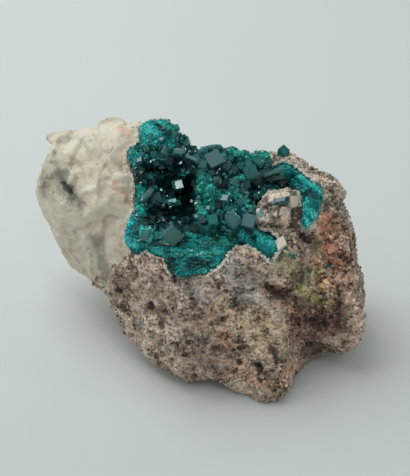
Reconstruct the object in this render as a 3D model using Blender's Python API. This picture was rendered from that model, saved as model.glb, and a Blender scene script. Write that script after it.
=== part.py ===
# Dioptase specimen: a rock of calcite and iron-stained quartz, its hollow lined by green dioptase crystals.
#
# The shape is laid out as a visitor sees the piece on display. A place on it is given by u, to the right,
# v, up, and d, away from the visitor, in millimetres from a point in the middle of the rock. The visitor
# looks down at it by VIEW_TILT from VIEW_DISTANCE away. seen() turns such a place into metres in the model,
# with +Z up.

import math
import random
from collections import namedtuple

import bmesh
import bpy
from mathutils import Matrix, Quaternion, Vector, noise
from mathutils.bvhtree import BVHTree
from mathutils.geometry import intersect_point_line
from mathutils.kdtree import KDTree

# Driving dimensions
MM = 0.001
VIEW_TILT = math.radians(38.0)
VIEW_DISTANCE = 300.0 * MM
LAYOUT_SHIFT = Vector((1.7, -3.4, 0.0)) * MM
VIEW_CENTRE = Vector((0.0, 4.8, 25.6)) * MM + LAYOUT_SHIFT

# Stations across the rock, left to right. Each gives the outline's top and foot, the middle of the upper
# face and the rim where the upper face turns down, as (v, d). Then comes how far the front swells, and then
# the shoulder, the back, the heel and the sole behind, as level (y, z) from the layout's zero on the ground.
Station = namedtuple("Station", "u top mid rim foot belly shoulder back heel sole")
STATIONS = (
    Station(
        -40.4, (18.8, 8.8), (17.4, 8.0), (15.8, 7.6), (14.8, 8.0),
        0.0, (23.6, 34.0), (23.8, 33.2), (23.2, 32.4), (22.4, 32.2)),
    Station(
        -38.8, (19.4, 7.8), (16.6, 5.8), (13.2, 5.2), (11.6, 6.4),
        0.2, (24.6, 35.4), (26.0, 33.4), (26.0, 30.4), (21.4, 28.8)),
    Station(
        -37.9, (19.8, 7.6), (17.4, 5.0), (12.4, 4.2), (9.6, 6.0),
        0.3, (25.0, 35.6), (27.0, 33.4), (27.0, 28.6), (20.8, 26.6)),
    Station(
        -36.8, (25.8, 7.0), (19.8, 3.8), (11.4, 2.6), (6.6, 5.8),
        0.6, (29.0, 40.0), (30.0, 34.0), (28.0, 27.0), (20.2, 24.4)),
    Station(
        -31.7, (24.8, 5.2), (19.2, 0.6), (9.8, -0.8), (-6.2, 5.2),
        0.9, (29.0, 41.2), (31.0, 33.0), (28.0, 23.0), (16.0, 18.8)),
    Station(
        -27.4, (25.4, 3.8), (19.2, -2.2), (10.8, -4.2), (-14.8, 4.0),
        1.2, (29.0, 42.6), (31.0, 32.0), (28.0, 19.0), (14.0, 13.4)),
    Station(
        -23.1, (26.8, 2.2), (20.2, -4.0), (12.2, -7.0), (-17.6, 2.0),
        1.4, (28.5, 43.6), (31.0, 31.0), (27.0, 14.0), (11.0, 8.5)),
    Station(
        -18.8, (27.2, -0.2), (19.0, -6.4), (6.0, -10.2), (-23.4, 0.0),
        1.5, (27.5, 44.5), (30.5, 30.0), (25.0, 9.0), (6.0, 4.0)),
    Station(
        -14.5, (28.1, -1.8), (14.0, -8.0), (-4.6, -15.0), (-29.4, -2.5),
        1.6, (27.0, 45.0), (29.5, 29.0), (23.0, 6.0), (3.0, 0.9)),
    Station(
        -10.2, (28.8, -2.2), (12.6, -8.2), (-6.4, -15.8), (-32.4, -4.3),
        1.6, (26.0, 44.8), (28.5, 28.0), (21.0, 4.0), (3.0, -0.6)),
    Station(
        -6.0, (23.0, -4.4), (8.6, -9.8), (-11.0, -17.4), (-34.4, -5.2),
        1.4, (23.5, 42.0), (27.0, 27.0), (20.0, 3.0), (3.0, -0.9)),
    Station(
        -1.2, (19.2, -5.8), (5.2, -11.1), (-10.6, -17.2), (-35.6, -5.3),
        1.2, (21.5, 40.5), (26.0, 26.0), (19.0, 2.4), (3.0, -0.9)),
    Station(
        3.6, (20.0, -5.4), (6.6, -10.6), (-8.6, -16.4), (-36.6, -5.8),
        1.2, (21.0, 41.0), (25.5, 26.0), (18.0, 2.0), (3.0, -0.9)),
    Station(
        8.3, (19.8, -5.6), (8.4, -9.8), (-3.8, -14.6), (-38.0, -6.5),
        1.4, (20.5, 40.5), (25.0, 25.0), (17.0, 2.0), (3.0, -0.9)),
    Station(
        12.6, (19.2, -5.9), (7.6, -10.2), (-5.0, -15.0), (-39.8, -7.8),
        1.4, (20.0, 40.0), (24.0, 25.0), (16.0, 2.0), (3.0, -0.9)),
    Station(
        15.9, (20.0, -5.7), (6.6, -10.6), (-7.6, -16.0), (-40.2, -8.6),
        0.8, (19.5, 40.5), (23.0, 24.0), (15.5, 2.4), (3.0, -0.9)),
    Station(
        19.3, (21.6, -5.0), (9.6, -9.4), (-2.4, -13.8), (-37.4, -5.8),
        0.4, (19.0, 41.5), (22.0, 24.0), (15.0, 2.4), (3.0, -0.9)),
    Station(
        22.6, (18.9, -5.8), (9.6, -9.4), (-0.8, -13.0), (-32.2, -1.8),
        0.4, (18.0, 39.5), (21.5, 23.5), (15.0, 2.8), (3.0, -0.7)),
    Station(
        26.4, (17.6, -6.2), (10.0, -9.2), (2.6, -11.8), (-30.2, 0.2),
        0.8, (17.0, 37.0), (20.5, 23.0), (14.5, 3.2), (2.0, 0.2)),
    Station(
        30.2, (16.4, -6.0), (9.6, -8.2), (3.6, -10.6), (-29.0, 0.2),
        1.4, (15.0, 34.5), (18.5, 22.0), (13.5, 4.6), (1.0, 1.6)),
    Station(
        33.5, (11.6, -5.6), (6.4, -7.4), (1.2, -9.2), (-28.2, -1.2),
        1.6, (12.0, 32.5), (15.5, 20.0), (11.5, 7.0), (-1.0, 3.4)),
    Station(
        35.9, (-1.6, -4.6), (-5.4, -6.0), (-9.6, -7.4), (-26.0, -2.0),
        1.0, (7.0, 24.0), (9.5, 16.0), (7.0, 9.4), (-2.5, 5.6)),
    Station(
        38.2, (-16.4, -3.2), (-17.2, -4.0), (-18.0, -4.2), (-21.0, -2.6),
        0.2, (-3.4, 15.0), (-2.4, 13.4), (-3.2, 11.4), (-6.0, 10.4)),
)

# Lumps (lift above zero) and pits on the faces that the visitor sees: u, v, radius and lift
RELIEF = (
    (10.7, -4.6, 3.4, 1.1),
    (16.6, 5.6, 4.6, 1.6),
    (25.0, -1.0, 2.6, -1.2),
    (17.9, -12.4, 2.8, -0.9),
    (22.6, -18.6, 3.6, -1.0),
    (35.2, -18.8, 4.6, 0.8),
    (-20.7, -12.9, 1.6, -0.9),
    (-13.1, -15.9, 1.8, -0.7),
    (-26.9, 19.2, 4.6, -0.7),
    (-24.6, 12.6, 3.0, 0.7),
    (-33.4, 22.6, 3.4, 0.5),
    (30.6, 6.0, 3.6, 0.6),
)
ROUGH_CELL = 9.0
ROUGH_HEIGHT = 0.8
ROUGH_SHARE = 0.5
ROUGH_FINER = 2.1
FINE_CELL = 3.2
FINE_HEIGHT = 0.45
CALCITE_EDGE = -15.5
CALCITE_CALM = 0.35
ROCK_FACES = 2900
SKIN_EASING = 0.4
REFINED_EASING = (0.3, 0.5)
TOE_RISE = 1.5
TOE_DROP = 0.3
FACING_GAIN = 1.6

# Broken faces of the rock: how far apart, how far one tilts and sinks, and the calcite's cleavage planes
CHIP_SEED = 5
CHIP_SPACING = 6.4
CALCITE_SPACING = 9.5
CHIP_TILT = 0.22
CHIP_SINK = 0.7
CHIP_SHARE = 0.85
CHIP_REACH = 2.2
CHIP_WORN = 1
CHIP_EASING = 0.5
CHIP_PLANES = 3
CHIP_FACING = 0.4
CLEAVAGE = (
    Vector((-0.20, -0.30, 0.93)).normalized(),
    Vector((-0.45, -0.86, 0.24)).normalized(),
    Vector((-0.93, 0.10, 0.35)).normalized(),
    Vector((-0.30, -0.55, -0.78)).normalized(),
    Vector((0.10, 0.96, 0.26)).normalized(),
)
CLEAVAGE_SHARE = 0.6

# Mouth of the hollow as (u, v). The crest run follows the rear edge, where crystals stand on the ridge.
MOUTH_CREST = (
    (-15.2, 27.4), (-12.4, 28.5), (-8.4, 28.1), (-6.2, 24.6), (-4.2, 22.0), (-2.2, 20.2), (-0.3, 19.6),
    (1.8, 20.6), (5.2, 20.4), (8.6, 20.0), (11.9, 18.9), (15.0, 19.4), (16.4, 18.8),
)
MOUTH_SIDES = (
    (15.4, 17.6), (14.2, 16.4), (15.6, 17.0), (19.2, 18.2), (21.7, 16.6), (24.6, 14.2), (27.8, 12.2),
    (28.4, 10.2), (27.4, 6.9), (26.8, 4.6), (24.4, 2.4), (23.4, 1.6), (22.7, 4.2), (22.9, 9.6),
    (22.3, 11.0), (19.8, 11.5), (15.4, 11.1), (13.4, 9.4), (12.1, 7.2), (12.0, 4.2), (13.6, 1.9), (15.8, 1.2),
    (17.6, -0.6), (17.4, -3.2), (15.6, -5.8), (12.6, -3.2), (10.0, -1.9), (7.8, -1.6), (5.4, -4.0),
    (3.6, -6.5), (0.4, -8.6), (-3.4, -8.9), (-5.4, -9.9), (-8.8, -7.8), (-9.8, -4.8), (-12.4, -4.2),
    (-14.6, -2.9), (-15.2, -4.4), (-17.4, -3.9), (-19.2, -1.2), (-19.0, 3.4), (-16.9, 6.6), (-16.9, 14.6),
    (-18.4, 18.8), (-18.6, 20.4), (-17.6, 21.6), (-15.6, 22.0), (-15.9, 25.2),
)
CREST_RAISE = 12.0
MOUTH_MARGIN = 3.0

# Basins in the floor of the hollow: u, v, radius across, radius up, depth
BASINS = (
    (-9.4, 10.4, 8.2, 8.8, 8.6),
    (-3.4, 9.4, 3.6, 9.0, 4.2),
    (16.6, 13.4, 6.6, 3.6, 4.8),
    (9.8, 14.6, 5.6, 5.4, 2.0),
    (4.0, 11.6, 5.4, 5.2, -1.8),
    (0.2, -1.4, 9.0, 5.6, 1.4),
    (24.6, 8.4, 3.0, 5.4, 1.2),
)
RIM_DEPTH = 1.7
FLOOR_STEP = 3.3
SEAT_GAP = 0.3
SEAT_SLACK = 0.05
CRUST_THICKNESS = 1.1
BASIN_POWER = 1.3
CREST_FALL = 0.8
CREST_FALL_LIMIT = 30.0
CREST_FALL_DEPTH = 0.35

# Nearest and farthest depth of the bodies that shape the hollow and its lining
HOLLOW_DEPTHS = (-42.0, 26.0)
ROOM_DEPTHS = (-41.0, 25.0)
CRUST_DEPTHS = (-39.0, 25.0)
OPEN_DEPTH = -40.0
NEAR_EYE_DEPTH = -270.0
GROUND_SIZE = Vector((120.0, 120.0, 20.0)) * MM

# Crystals that stand out: u, v, lift over the lining, radius, half length, lean to the right and up, spin
CRYSTALS = (
    (1.9, 19.2, 1.1, 2.9, 3.3, 0.0, 0.5, 10),
    (-6.4, 19.8, 0.6, 1.8, 2.5, -0.5, 0.5, 40),
    (-3.6, 18.6, 0.5, 1.5, 2.4, 0.7, -0.2, 15),
    (-13.6, 10.6, 1.0, 1.4, 3.0, 0.55, 0.8, 30),
    (-6.4, 12.8, 0.8, 1.6, 2.1, 0.3, 0.2, 20),
    (-7.6, 1.0, 0.8, 2.5, 3.1, 0.0, 0.35, 0),
    (-14.3, 0.8, 0.5, 1.8, 2.2, 0.3, 0.3, 25),
    (1.0, 4.3, 0.9, 2.5, 3.1, -0.1, 0.6, 35),
    (5.5, 2.0, 0.9, 2.2, 3.3, 0.1, 0.9, 0),
    (6.6, 5.6, 0.7, 1.8, 2.5, 0.2, 0.5, 30),
    (10.2, 4.6, 0.9, 2.1, 2.8, -0.3, 0.5, 50),
    (4.8, 9.8, 0.6, 1.4, 1.9, 0.1, 0.2, 10),
    (8.8, 12.4, 0.8, 1.2, 2.4, 0.1, 0.9, 20),
    (-2.3, 5.4, 0.5, 1.2, 1.7, 0.2, -0.2, 45),
    (6.3, 19.8, 0.7, 1.6, 2.2, 0.1, 0.7, 5),
    (9.6, 19.3, 0.6, 1.3, 1.8, -0.2, 0.8, 35),
    (13.5, 18.7, 0.8, 1.6, 2.2, 0.0, 0.8, 15),
    (-6.6, 23.0, 0.3, 1.5, 2.1, 0.2, 0.7, 25),
    (-1.6, 19.0, 0.5, 1.3, 1.8, 0.0, 0.8, 50),
    (9.8, 16.0, 0.6, 1.8, 2.4, 0.4, 0.2, 0),
    (13.4, 14.6, 0.6, 1.7, 2.3, -0.4, 0.1, 30),
    (-11.6, 17.6, 0.4, 1.4, 2.0, -0.2, 0.5, 10),
    (-14.6, 15.0, 0.4, 1.3, 1.9, 0.5, 0.3, 45),
)
FILL_SEED = 11
FILL_COUNT = 52
FILL_RADIUS = (0.85, 1.6)
FILL_MARGIN = 1.6
FILL_LIFT = 0.38
FILL_ACROSS = (-18.0, 28.0)
FILL_UP = (-8.0, 28.0)
FILL_TRIES = 20000
FILL_CLOSENESS = 0.62
FILL_APART = 0.4
FILL_LEAN = 0.6
FILL_ASPECT = (1.25, 1.7)
RHOMB_SLOPE = math.radians(51.0)
CUT_TOLERANCE = 1e-4
MERGE_TOLERANCE = 1e-3
OUTWARD_REACH = 0.8

# Lone crystal on the rear edge: u, v, d, radius, half length
LONE_CRYSTAL = (18.6, 20.1, -3.4, 1.6, 2.2)
LONE_AXIS = Vector((0.06, 0.38, 1.0)).normalized()
LONE_SPIN = math.radians(60.0)
LONE_SOCKET = 0.35
LONE_SOCKET_LENGTH = 1.6

# Colours as red, green and blue, and how rough each surface is
ROCK_COLOUR = (0.33, 0.25, 0.20)
ROCK_ROUGHNESS = 0.9
GEM_COLOUR = (0.01, 0.16, 0.12)
LONE_GEM_COLOUR = (0.01, 0.20, 0.13)
GEM_ROUGHNESS = 0.08
GEM_IOR = 1.66
GEM_CLEARNESS = 0.5


def seen(u, v, d):
    """Place in the model of a point at u, v, d, in millimetres, as the visitor sees it."""
    forward = Vector((0.0, math.cos(VIEW_TILT), -math.sin(VIEW_TILT)))
    upward = Vector((0.0, math.sin(VIEW_TILT), math.cos(VIEW_TILT)))
    across = (Vector((1.0, 0.0, 0.0)) * u + upward * v) * MM
    depth = d * MM
    return VIEW_CENTRE + forward * depth + across * ((VIEW_DISTANCE + depth) / VIEW_DISTANCE)


def as_seen(point):
    """The u, v, d of a place in the model."""
    forward = Vector((0.0, math.cos(VIEW_TILT), -math.sin(VIEW_TILT)))
    upward = Vector((0.0, math.sin(VIEW_TILT), math.cos(VIEW_TILT)))
    offset = point - VIEW_CENTRE
    depth = offset.dot(forward)
    shrink = VIEW_DISTANCE / (VIEW_DISTANCE + depth)
    return Vector((offset.x * shrink, offset.dot(upward) * shrink, depth)) / MM


def behind(u, y, z):
    """Place at level coordinates y, z, on the line of sight that passes u across the middle."""
    point = Vector((0.0, y, z)) * MM + LAYOUT_SHIFT
    forward = Vector((0.0, math.cos(VIEW_TILT), -math.sin(VIEW_TILT)))
    depth = (point - VIEW_CENTRE).dot(forward)
    point.x = VIEW_CENTRE.x + u * MM * (VIEW_DISTANCE + depth) / VIEW_DISTANCE
    return point


def clear_scene():
    for old in list(bpy.data.objects):
        bpy.data.objects.remove(old, do_unlink=True)


def new_object(name, mesh_maker, material=None):
    """Adds an object whose mesh is a finished bmesh."""
    mesh = bpy.data.meshes.new(name)
    mesh_maker.to_mesh(mesh)
    mesh_maker.free()
    made = bpy.data.objects.new(name, mesh)
    bpy.context.collection.objects.link(made)
    if material:
        mesh.materials.append(material)
    return made


def as_cutter(shape):
    shape.hide_render = True
    shape.display_type = "WIRE"
    return shape


def add_boolean(target, operation, tool):
    step = target.modifiers.new(operation.title(), "BOOLEAN")
    step.operation = operation
    step.solver = "EXACT"
    step.object = tool
    return step


def stone_material(name, colour, roughness):
    material = bpy.data.materials.new(name)
    material.use_nodes = True
    shader = material.node_tree.nodes["Principled BSDF"]
    shader.inputs["Base Color"].default_value = (*colour, 1.0)
    shader.inputs["Roughness"].default_value = roughness
    shader.inputs["Metallic"].default_value = 0.0
    return material


def gem_material(name, colour):
    material = stone_material(name, colour, GEM_ROUGHNESS)
    shader = material.node_tree.nodes["Principled BSDF"]
    shader.inputs["IOR"].default_value = GEM_IOR
    shader.inputs["Transmission Weight"].default_value = GEM_CLEARNESS
    return material


def station_ring(station):
    """The closed ring of points round the rock at one station."""
    u = station.u
    rim_v, rim_d = station.rim
    foot_v, foot_d = station.foot
    front = [station.top, station.mid, station.rim]
    for share in (1 / 3, 2 / 3):
        v = rim_v + (foot_v - rim_v) * share
        d = rim_d + (foot_d - rim_d) * share - station.belly
        front.append((v, d))
    front.append(station.foot)
    ring = [seen(u, v, d) for v, d in front]
    toe = ring[-1]
    sole_y, sole_z = station.sole
    toe_y = (toe - LAYOUT_SHIFT).y / MM
    toe_z = min(toe.z / MM, sole_z + TOE_RISE)
    ring.append(behind(u, (toe_y + sole_y) / 2, (sole_z + toe_z) / 2 - TOE_DROP))
    ring.append(behind(u, sole_y, sole_z))
    heel_y, heel_z = station.heel
    ring.append(behind(u, (heel_y + sole_y) / 2, sole_z))
    ring.append(behind(u, heel_y, heel_z))
    ring.append(behind(u, *station.back))
    ring.append(behind(u, *station.shoulder))
    return ring


def ease(skin, factor):
    bmesh.ops.smooth_vert(
        skin, verts=skin.verts[:], factor=factor, use_axis_x=True, use_axis_y=True, use_axis_z=True)


def rock_loft():
    """Closed skin through the stations, refined and eased once."""
    skin = bmesh.new()
    rings = []
    for station in STATIONS:
        verts = [skin.verts.new(point) for point in station_ring(station)]
        edges = [skin.edges.new((verts[i - 1], verts[i])) for i in range(len(verts))]
        rings.append((verts, edges))
    for (_, near), (_, far) in zip(rings, rings[1:]):
        bmesh.ops.bridge_loops(skin, edges=near + far)
    for verts, _ in (rings[0], rings[-1]):
        skin.faces.new(verts)
    bmesh.ops.recalc_face_normals(skin, faces=skin.faces[:])
    bmesh.ops.subdivide_edges(skin, edges=skin.edges[:], cuts=1, use_grid_fill=True)
    ease(skin, SKIN_EASING)
    return skin


def is_calcite(point):
    return point.x < CALCITE_EDGE * MM


def chip_planes(skin):
    """Planes of the rock's broken faces, as (point, normal), spread over the skin."""
    rng = random.Random(CHIP_SEED)
    verts = skin.verts[:]
    rng.shuffle(verts)
    planes = []
    for vert in verts:
        spacing = CALCITE_SPACING if is_calcite(vert.co) else CHIP_SPACING
        if any((vert.co - point).length < spacing * MM for point, _ in planes):
            continue
        normal = vert.normal.copy()
        if is_calcite(vert.co):
            nearest = max(CLEAVAGE, key=normal.dot)
            normal = normal.lerp(nearest, CLEAVAGE_SHARE)
        tilt = Vector((rng.uniform(-1, 1), rng.uniform(-1, 1), rng.uniform(-1, 1))) * CHIP_TILT
        point = vert.co - normal * rng.uniform(-0.5, 1.0) * CHIP_SINK * MM
        planes.append((point, (normal + tilt).normalized()))
    return planes


def chip(skin):
    """Flattens the skin into broken faces: each place moves towards the lowest of its nearest planes."""
    skin.normal_update()
    planes = chip_planes(skin)
    lookup = KDTree(len(planes))
    for index, (point, _) in enumerate(planes):
        lookup.insert(point, index)
    lookup.balance()
    moves = []
    for vert in skin.verts:
        heights = []
        for _, index, _ in lookup.find_n(vert.co, CHIP_PLANES):
            point, normal = planes[index]
            facing = vert.normal.dot(normal)
            if facing > CHIP_FACING:
                heights.append((point - vert.co).dot(normal) / facing)
        if heights:
            limit = CHIP_REACH * MM
            height = max(-limit, min(limit, min(heights)))
            moves.append((vert, vert.normal * height * CHIP_SHARE))
    for vert, move in moves:
        vert.co += move


def relief_at(point, normal):
    """Lift of the surface, in millimetres, by the named lumps and pits, on faces that the visitor sees."""
    place = as_seen(point)
    towards = (seen(place.x, place.y, NEAR_EYE_DEPTH) - point).normalized()
    facing = max(0.0, normal.dot(towards))
    lift = 0.0
    for u, v, radius, height in RELIEF:
        away = math.hypot(place.x - u, place.y - v) / radius
        lift += height * math.exp(-away * away)
    return lift * min(1.0, facing * FACING_GAIN)


def roughen(skin):
    """Raises and sinks the skin by broad and fine noise and by the named lumps and pits."""
    skin.normal_update()
    moves = []
    for vert in skin.verts:
        place = vert.co / MM
        broad = noise.noise(place / ROUGH_CELL)
        broad += ROUGH_SHARE * noise.noise(place / ROUGH_CELL * ROUGH_FINER + Vector((7, 3, 1)))
        fine = noise.noise(place / FINE_CELL + Vector((3, 9, 5)))
        calm = CALCITE_CALM if is_calcite(vert.co) else 1.0
        lift = (broad * ROUGH_HEIGHT + fine * FINE_HEIGHT) * calm + relief_at(vert.co, vert.normal)
        moves.append((vert, vert.normal * lift * MM))
    for vert, move in moves:
        vert.co += move


def prism(outline, near, far):
    """Closed body through an outline of (u, v), from depth near to depth far along the lines of sight."""
    body = bmesh.new()
    verts = [body.verts.new((u, v, near)) for u, v in outline]
    cap = body.faces.new(verts)
    grown = bmesh.ops.extrude_face_region(body, geom=[cap])
    for item in grown["geom"]:
        if isinstance(item, bmesh.types.BMVert):
            item.co.z = far
    for vert in body.verts:
        vert.co = seen(*vert.co)
    bmesh.ops.triangulate(body, faces=[face for face in body.faces if len(face.verts) > 4])
    bmesh.ops.recalc_face_normals(body, faces=body.faces[:])
    return body


def slab(near_depth, far_depth):
    """Closed body over the whole mouth, between two depths that are given as functions of u and v."""
    points = MOUTH_CREST + MOUTH_SIDES
    left = min(u for u, _ in points) - MOUTH_MARGIN
    right = max(u for u, _ in points) + MOUTH_MARGIN
    low = min(v for _, v in points) - MOUTH_MARGIN
    high = max(v for _, v in points) + CREST_RAISE + MOUTH_MARGIN
    columns = round((right - left) / FLOOR_STEP)
    rows = round((high - low) / FLOOR_STEP)
    body = bmesh.new()
    bmesh.ops.create_grid(body, x_segments=columns, y_segments=rows, size=1.0)
    for vert in body.verts:
        vert.co.x = left + (right - left) * (vert.co.x + 1.0) / 2
        vert.co.y = low + (high - low) * (vert.co.y + 1.0) / 2
    bmesh.ops.triangulate(body, faces=body.faces[:])
    grown = bmesh.ops.extrude_face_region(body, geom=body.faces[:])
    far_side = {item for item in grown["geom"] if isinstance(item, bmesh.types.BMVert)}
    for vert in body.verts:
        depth = far_depth if vert in far_side else near_depth
        vert.co = seen(vert.co.x, vert.co.y, depth(vert.co.x, vert.co.y))
    bmesh.ops.recalc_face_normals(body, faces=body.faces[:])
    return body


def mouth_outline(inset=0.0, crest_raise=0.0):
    """The mouth's outline, drawn in by inset, with its crest run moved up by crest_raise."""
    points = [Vector((u, v + crest_raise)) for u, v in MOUTH_CREST]
    points += [Vector(point) for point in MOUTH_SIDES]
    drawn = []
    for before, here, after in zip(points[-1:] + points[:-1], points, points[1:] + points[:1]):
        first = (here - before).normalized()
        second = (after - here).normalized()
        inward = Vector((first.y + second.y, -first.x - second.x)).normalized()
        sharp = max(0.5, inward.dot(Vector((first.y, -first.x))))
        drawn.append(here + inward * (inset / sharp))
    return [(point.x, point.y) for point in drawn]


class Floor:
    """Depth of the hollow's rock floor behind each u, v, worked out from the skin of the whole rock."""

    def __init__(self, skin):
        self.tree = BVHTree.FromBMesh(skin)
        self.eye = seen(0.0, 0.0, -VIEW_DISTANCE / MM)
        self.kept = {}

    def skin_depth(self, u, v):
        fall = 0.0
        while fall < CREST_FALL_LIMIT:
            target = seen(u, v - fall, 0.0)
            hit = self.tree.ray_cast(self.eye, (target - self.eye).normalized())[0]
            if hit is not None:
                return as_seen(hit).z + CREST_FALL_DEPTH * fall
            fall += CREST_FALL
        return 0.0

    def __call__(self, u, v):
        key = (round(u, 3), round(v, 3))
        if key not in self.kept:
            depth = self.skin_depth(u, v) + RIM_DEPTH
            for basin_u, basin_v, across, up, deep in BASINS:
                away = math.hypot((u - basin_u) / across, (v - basin_v) / up)
                if away < 1.0:
                    depth += deep * (1.0 - away * away) ** BASIN_POWER
            self.kept[key] = depth
        return self.kept[key]


def crystal(radius, half_length):
    """A dioptase crystal: a six-sided prism closed at each end by three faces over its alternate edges."""
    body = bmesh.new()
    bmesh.ops.create_cone(
        body, cap_ends=True, segments=6, radius1=radius, radius2=radius, depth=2 * half_length)
    for end in (1, -1):
        for turn in range(3):
            angle = math.radians(90.0 * end + 120.0 * turn)
            slope = Vector((math.cos(angle), math.sin(angle), 0.0)) * math.sin(RHOMB_SLOPE)
            slope.z = end * math.cos(RHOMB_SLOPE)
            geometry = body.verts[:] + body.edges[:] + body.faces[:]
            cut = bmesh.ops.bisect_plane(
                body, geom=geometry, dist=radius * CUT_TOLERANCE, plane_co=(0, 0, end * half_length),
                plane_no=slope, clear_outer=True)
            rim = [item for item in cut["geom_cut"] if isinstance(item, bmesh.types.BMEdge)]
            bmesh.ops.edgeloop_fill(body, edges=rim)
    bmesh.ops.remove_doubles(body, verts=body.verts[:], dist=radius * MERGE_TOLERANCE)
    bmesh.ops.recalc_face_normals(body, faces=body.faces[:])
    return body


def add_crystal(cluster, place, axis, spin, radius, half_length):
    """Adds a crystal to a cluster's bmesh, centred at place with its long axis along axis."""
    one = crystal(radius * MM, half_length * MM)
    turn = Vector((0, 0, 1)).rotation_difference(axis) @ Quaternion((0, 0, 1), spin)
    bmesh.ops.transform(one, matrix=Matrix.LocRotScale(place, turn, None), verts=one.verts[:])
    mesh = bpy.data.meshes.new("one_crystal")
    one.to_mesh(mesh)
    one.free()
    cluster.from_mesh(mesh)
    bpy.data.meshes.remove(mesh)


def outward(floor, u, v):
    """Direction straight out of the hollow's floor, towards the visitor."""
    middle = seen(u, v, floor(u, v))
    along = seen(u + OUTWARD_REACH, v, floor(u + OUTWARD_REACH, v)) - middle
    up = seen(u, v + OUTWARD_REACH, floor(u, v + OUTWARD_REACH)) - middle
    return along.cross(up).normalized()


def distance_to_outline(u, v, outline):
    """Distance from a point to the nearest side of an outline, negative outside it."""
    point = Vector((u, v, 0.0))
    nearest = math.inf
    inside = False
    for start, end in zip(outline, outline[1:] + outline[:1]):
        first = Vector((*start, 0.0))
        second = Vector((*end, 0.0))
        foot, share = intersect_point_line(point, first, second)
        if share < 0.0:
            foot = first
        elif share > 1.0:
            foot = second
        nearest = min(nearest, (point - foot).length)
        if (first.y > v) != (second.y > v):
            if u < first.x + (v - first.y) / (second.y - first.y) * (second.x - first.x):
                inside = not inside
    return nearest if inside else -nearest


def fill_places(rng, outline):
    """Places for the smaller crystals, spread over the mouth and clear of one another."""
    taken = [(u, v, radius) for u, v, _, radius, *_ in CRYSTALS]
    places = []
    tries = 0
    while len(places) < FILL_COUNT and tries < FILL_TRIES:
        tries += 1
        u = rng.uniform(*FILL_ACROSS)
        v = rng.uniform(*FILL_UP)
        if distance_to_outline(u, v, outline) < FILL_MARGIN:
            continue
        radius = rng.uniform(*FILL_RADIUS)
        room = [FILL_CLOSENESS * (radius + other) + FILL_APART for _, _, other in taken]
        if any(math.hypot(u - other[0], v - other[1]) < apart for other, apart in zip(taken, room)):
            continue
        taken.append((u, v, radius))
        places.append((u, v, radius))
    return places


def crystal_cluster(floor):
    """All the crystals of the hollow, as separate closed bodies in one bmesh."""
    cluster = bmesh.new()
    outline = mouth_outline()
    lining = SEAT_GAP + CRUST_THICKNESS
    for u, v, lift, radius, half_length, lean_u, lean_v, spin in CRYSTALS:
        axis = (seen(u + lean_u, v + lean_v, -0.8) - seen(u, v, 0.0)).normalized()
        place = seen(u, v, floor(u, v) - lining) + axis * lift * MM
        add_crystal(cluster, place, axis, math.radians(spin), radius, half_length)
    rng = random.Random(FILL_SEED)
    for u, v, radius in fill_places(rng, outline):
        out = outward(floor, u, v)
        lean = Vector((rng.uniform(-1, 1), rng.uniform(-1, 1), rng.uniform(-1, 1))) * FILL_LEAN
        axis = (out + lean).normalized()
        half_length = radius * rng.uniform(*FILL_ASPECT)
        place = seen(u, v, floor(u, v) - lining) + axis * (half_length * FILL_LIFT * MM)
        add_crystal(cluster, place, axis, rng.uniform(0, math.pi), radius, half_length)
    return cluster


def build_matrix(stone):
    """The rock, with its hollow cut out and its resting face cut level."""
    skin = rock_loft()
    floor = Floor(skin)
    for factor in REFINED_EASING:
        bmesh.ops.subdivide_edges(skin, edges=skin.edges[:], cuts=1, use_grid_fill=True)
        ease(skin, factor)
    roughen(skin)
    chip(skin)
    for _ in range(CHIP_WORN):
        ease(skin, CHIP_EASING)
    bmesh.ops.triangulate(skin, faces=skin.faces[:])
    triangles = len(skin.faces)
    rock = new_object("matrix", skin, stone)
    thin = rock.modifiers.new("Plain faces", "DECIMATE")
    thin.ratio = ROCK_FACES / triangles

    ground = bmesh.new()
    bmesh.ops.create_cube(ground, size=1.0)
    bmesh.ops.scale(ground, vec=GROUND_SIZE, verts=ground.verts[:])
    bmesh.ops.translate(ground, vec=Vector((0.0, 0.0, -GROUND_SIZE.z / 2)), verts=ground.verts[:])
    add_boolean(rock, "DIFFERENCE", as_cutter(new_object("ground_cut", ground)))

    space = as_cutter(new_object("hollow_cut", prism(mouth_outline(0.0, CREST_RAISE), *HOLLOW_DEPTHS)))
    depth = as_cutter(new_object("hollow_depth", slab(lambda u, v: OPEN_DEPTH, floor)))
    add_boolean(space, "INTERSECT", depth)
    add_boolean(rock, "DIFFERENCE", space)
    return rock, floor


def build_crust(floor, gem):
    """The lining and its crystals, joined, and kept clear of the rock all round."""
    lining_front = SEAT_GAP + CRUST_THICKNESS
    inset = SEAT_GAP + SEAT_SLACK
    crust = new_object("dioptase_crust", prism(mouth_outline(inset, 0.0), *CRUST_DEPTHS), gem)
    sheet = slab(lambda u, v: floor(u, v) - lining_front, lambda u, v: floor(u, v) - inset)
    add_boolean(crust, "INTERSECT", as_cutter(new_object("lining", sheet)))
    crystals = as_cutter(new_object("crystal_cluster", crystal_cluster(floor)))
    join = add_boolean(crust, "UNION", crystals)
    join.use_self = True

    room = as_cutter(new_object("room", prism(mouth_outline(SEAT_GAP, CREST_RAISE), *ROOM_DEPTHS)))
    depth = slab(lambda u, v: OPEN_DEPTH, lambda u, v: floor(u, v) - SEAT_GAP)
    add_boolean(room, "INTERSECT", as_cutter(new_object("room_depth", depth)))
    add_boolean(crust, "INTERSECT", room)
    return crust


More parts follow.
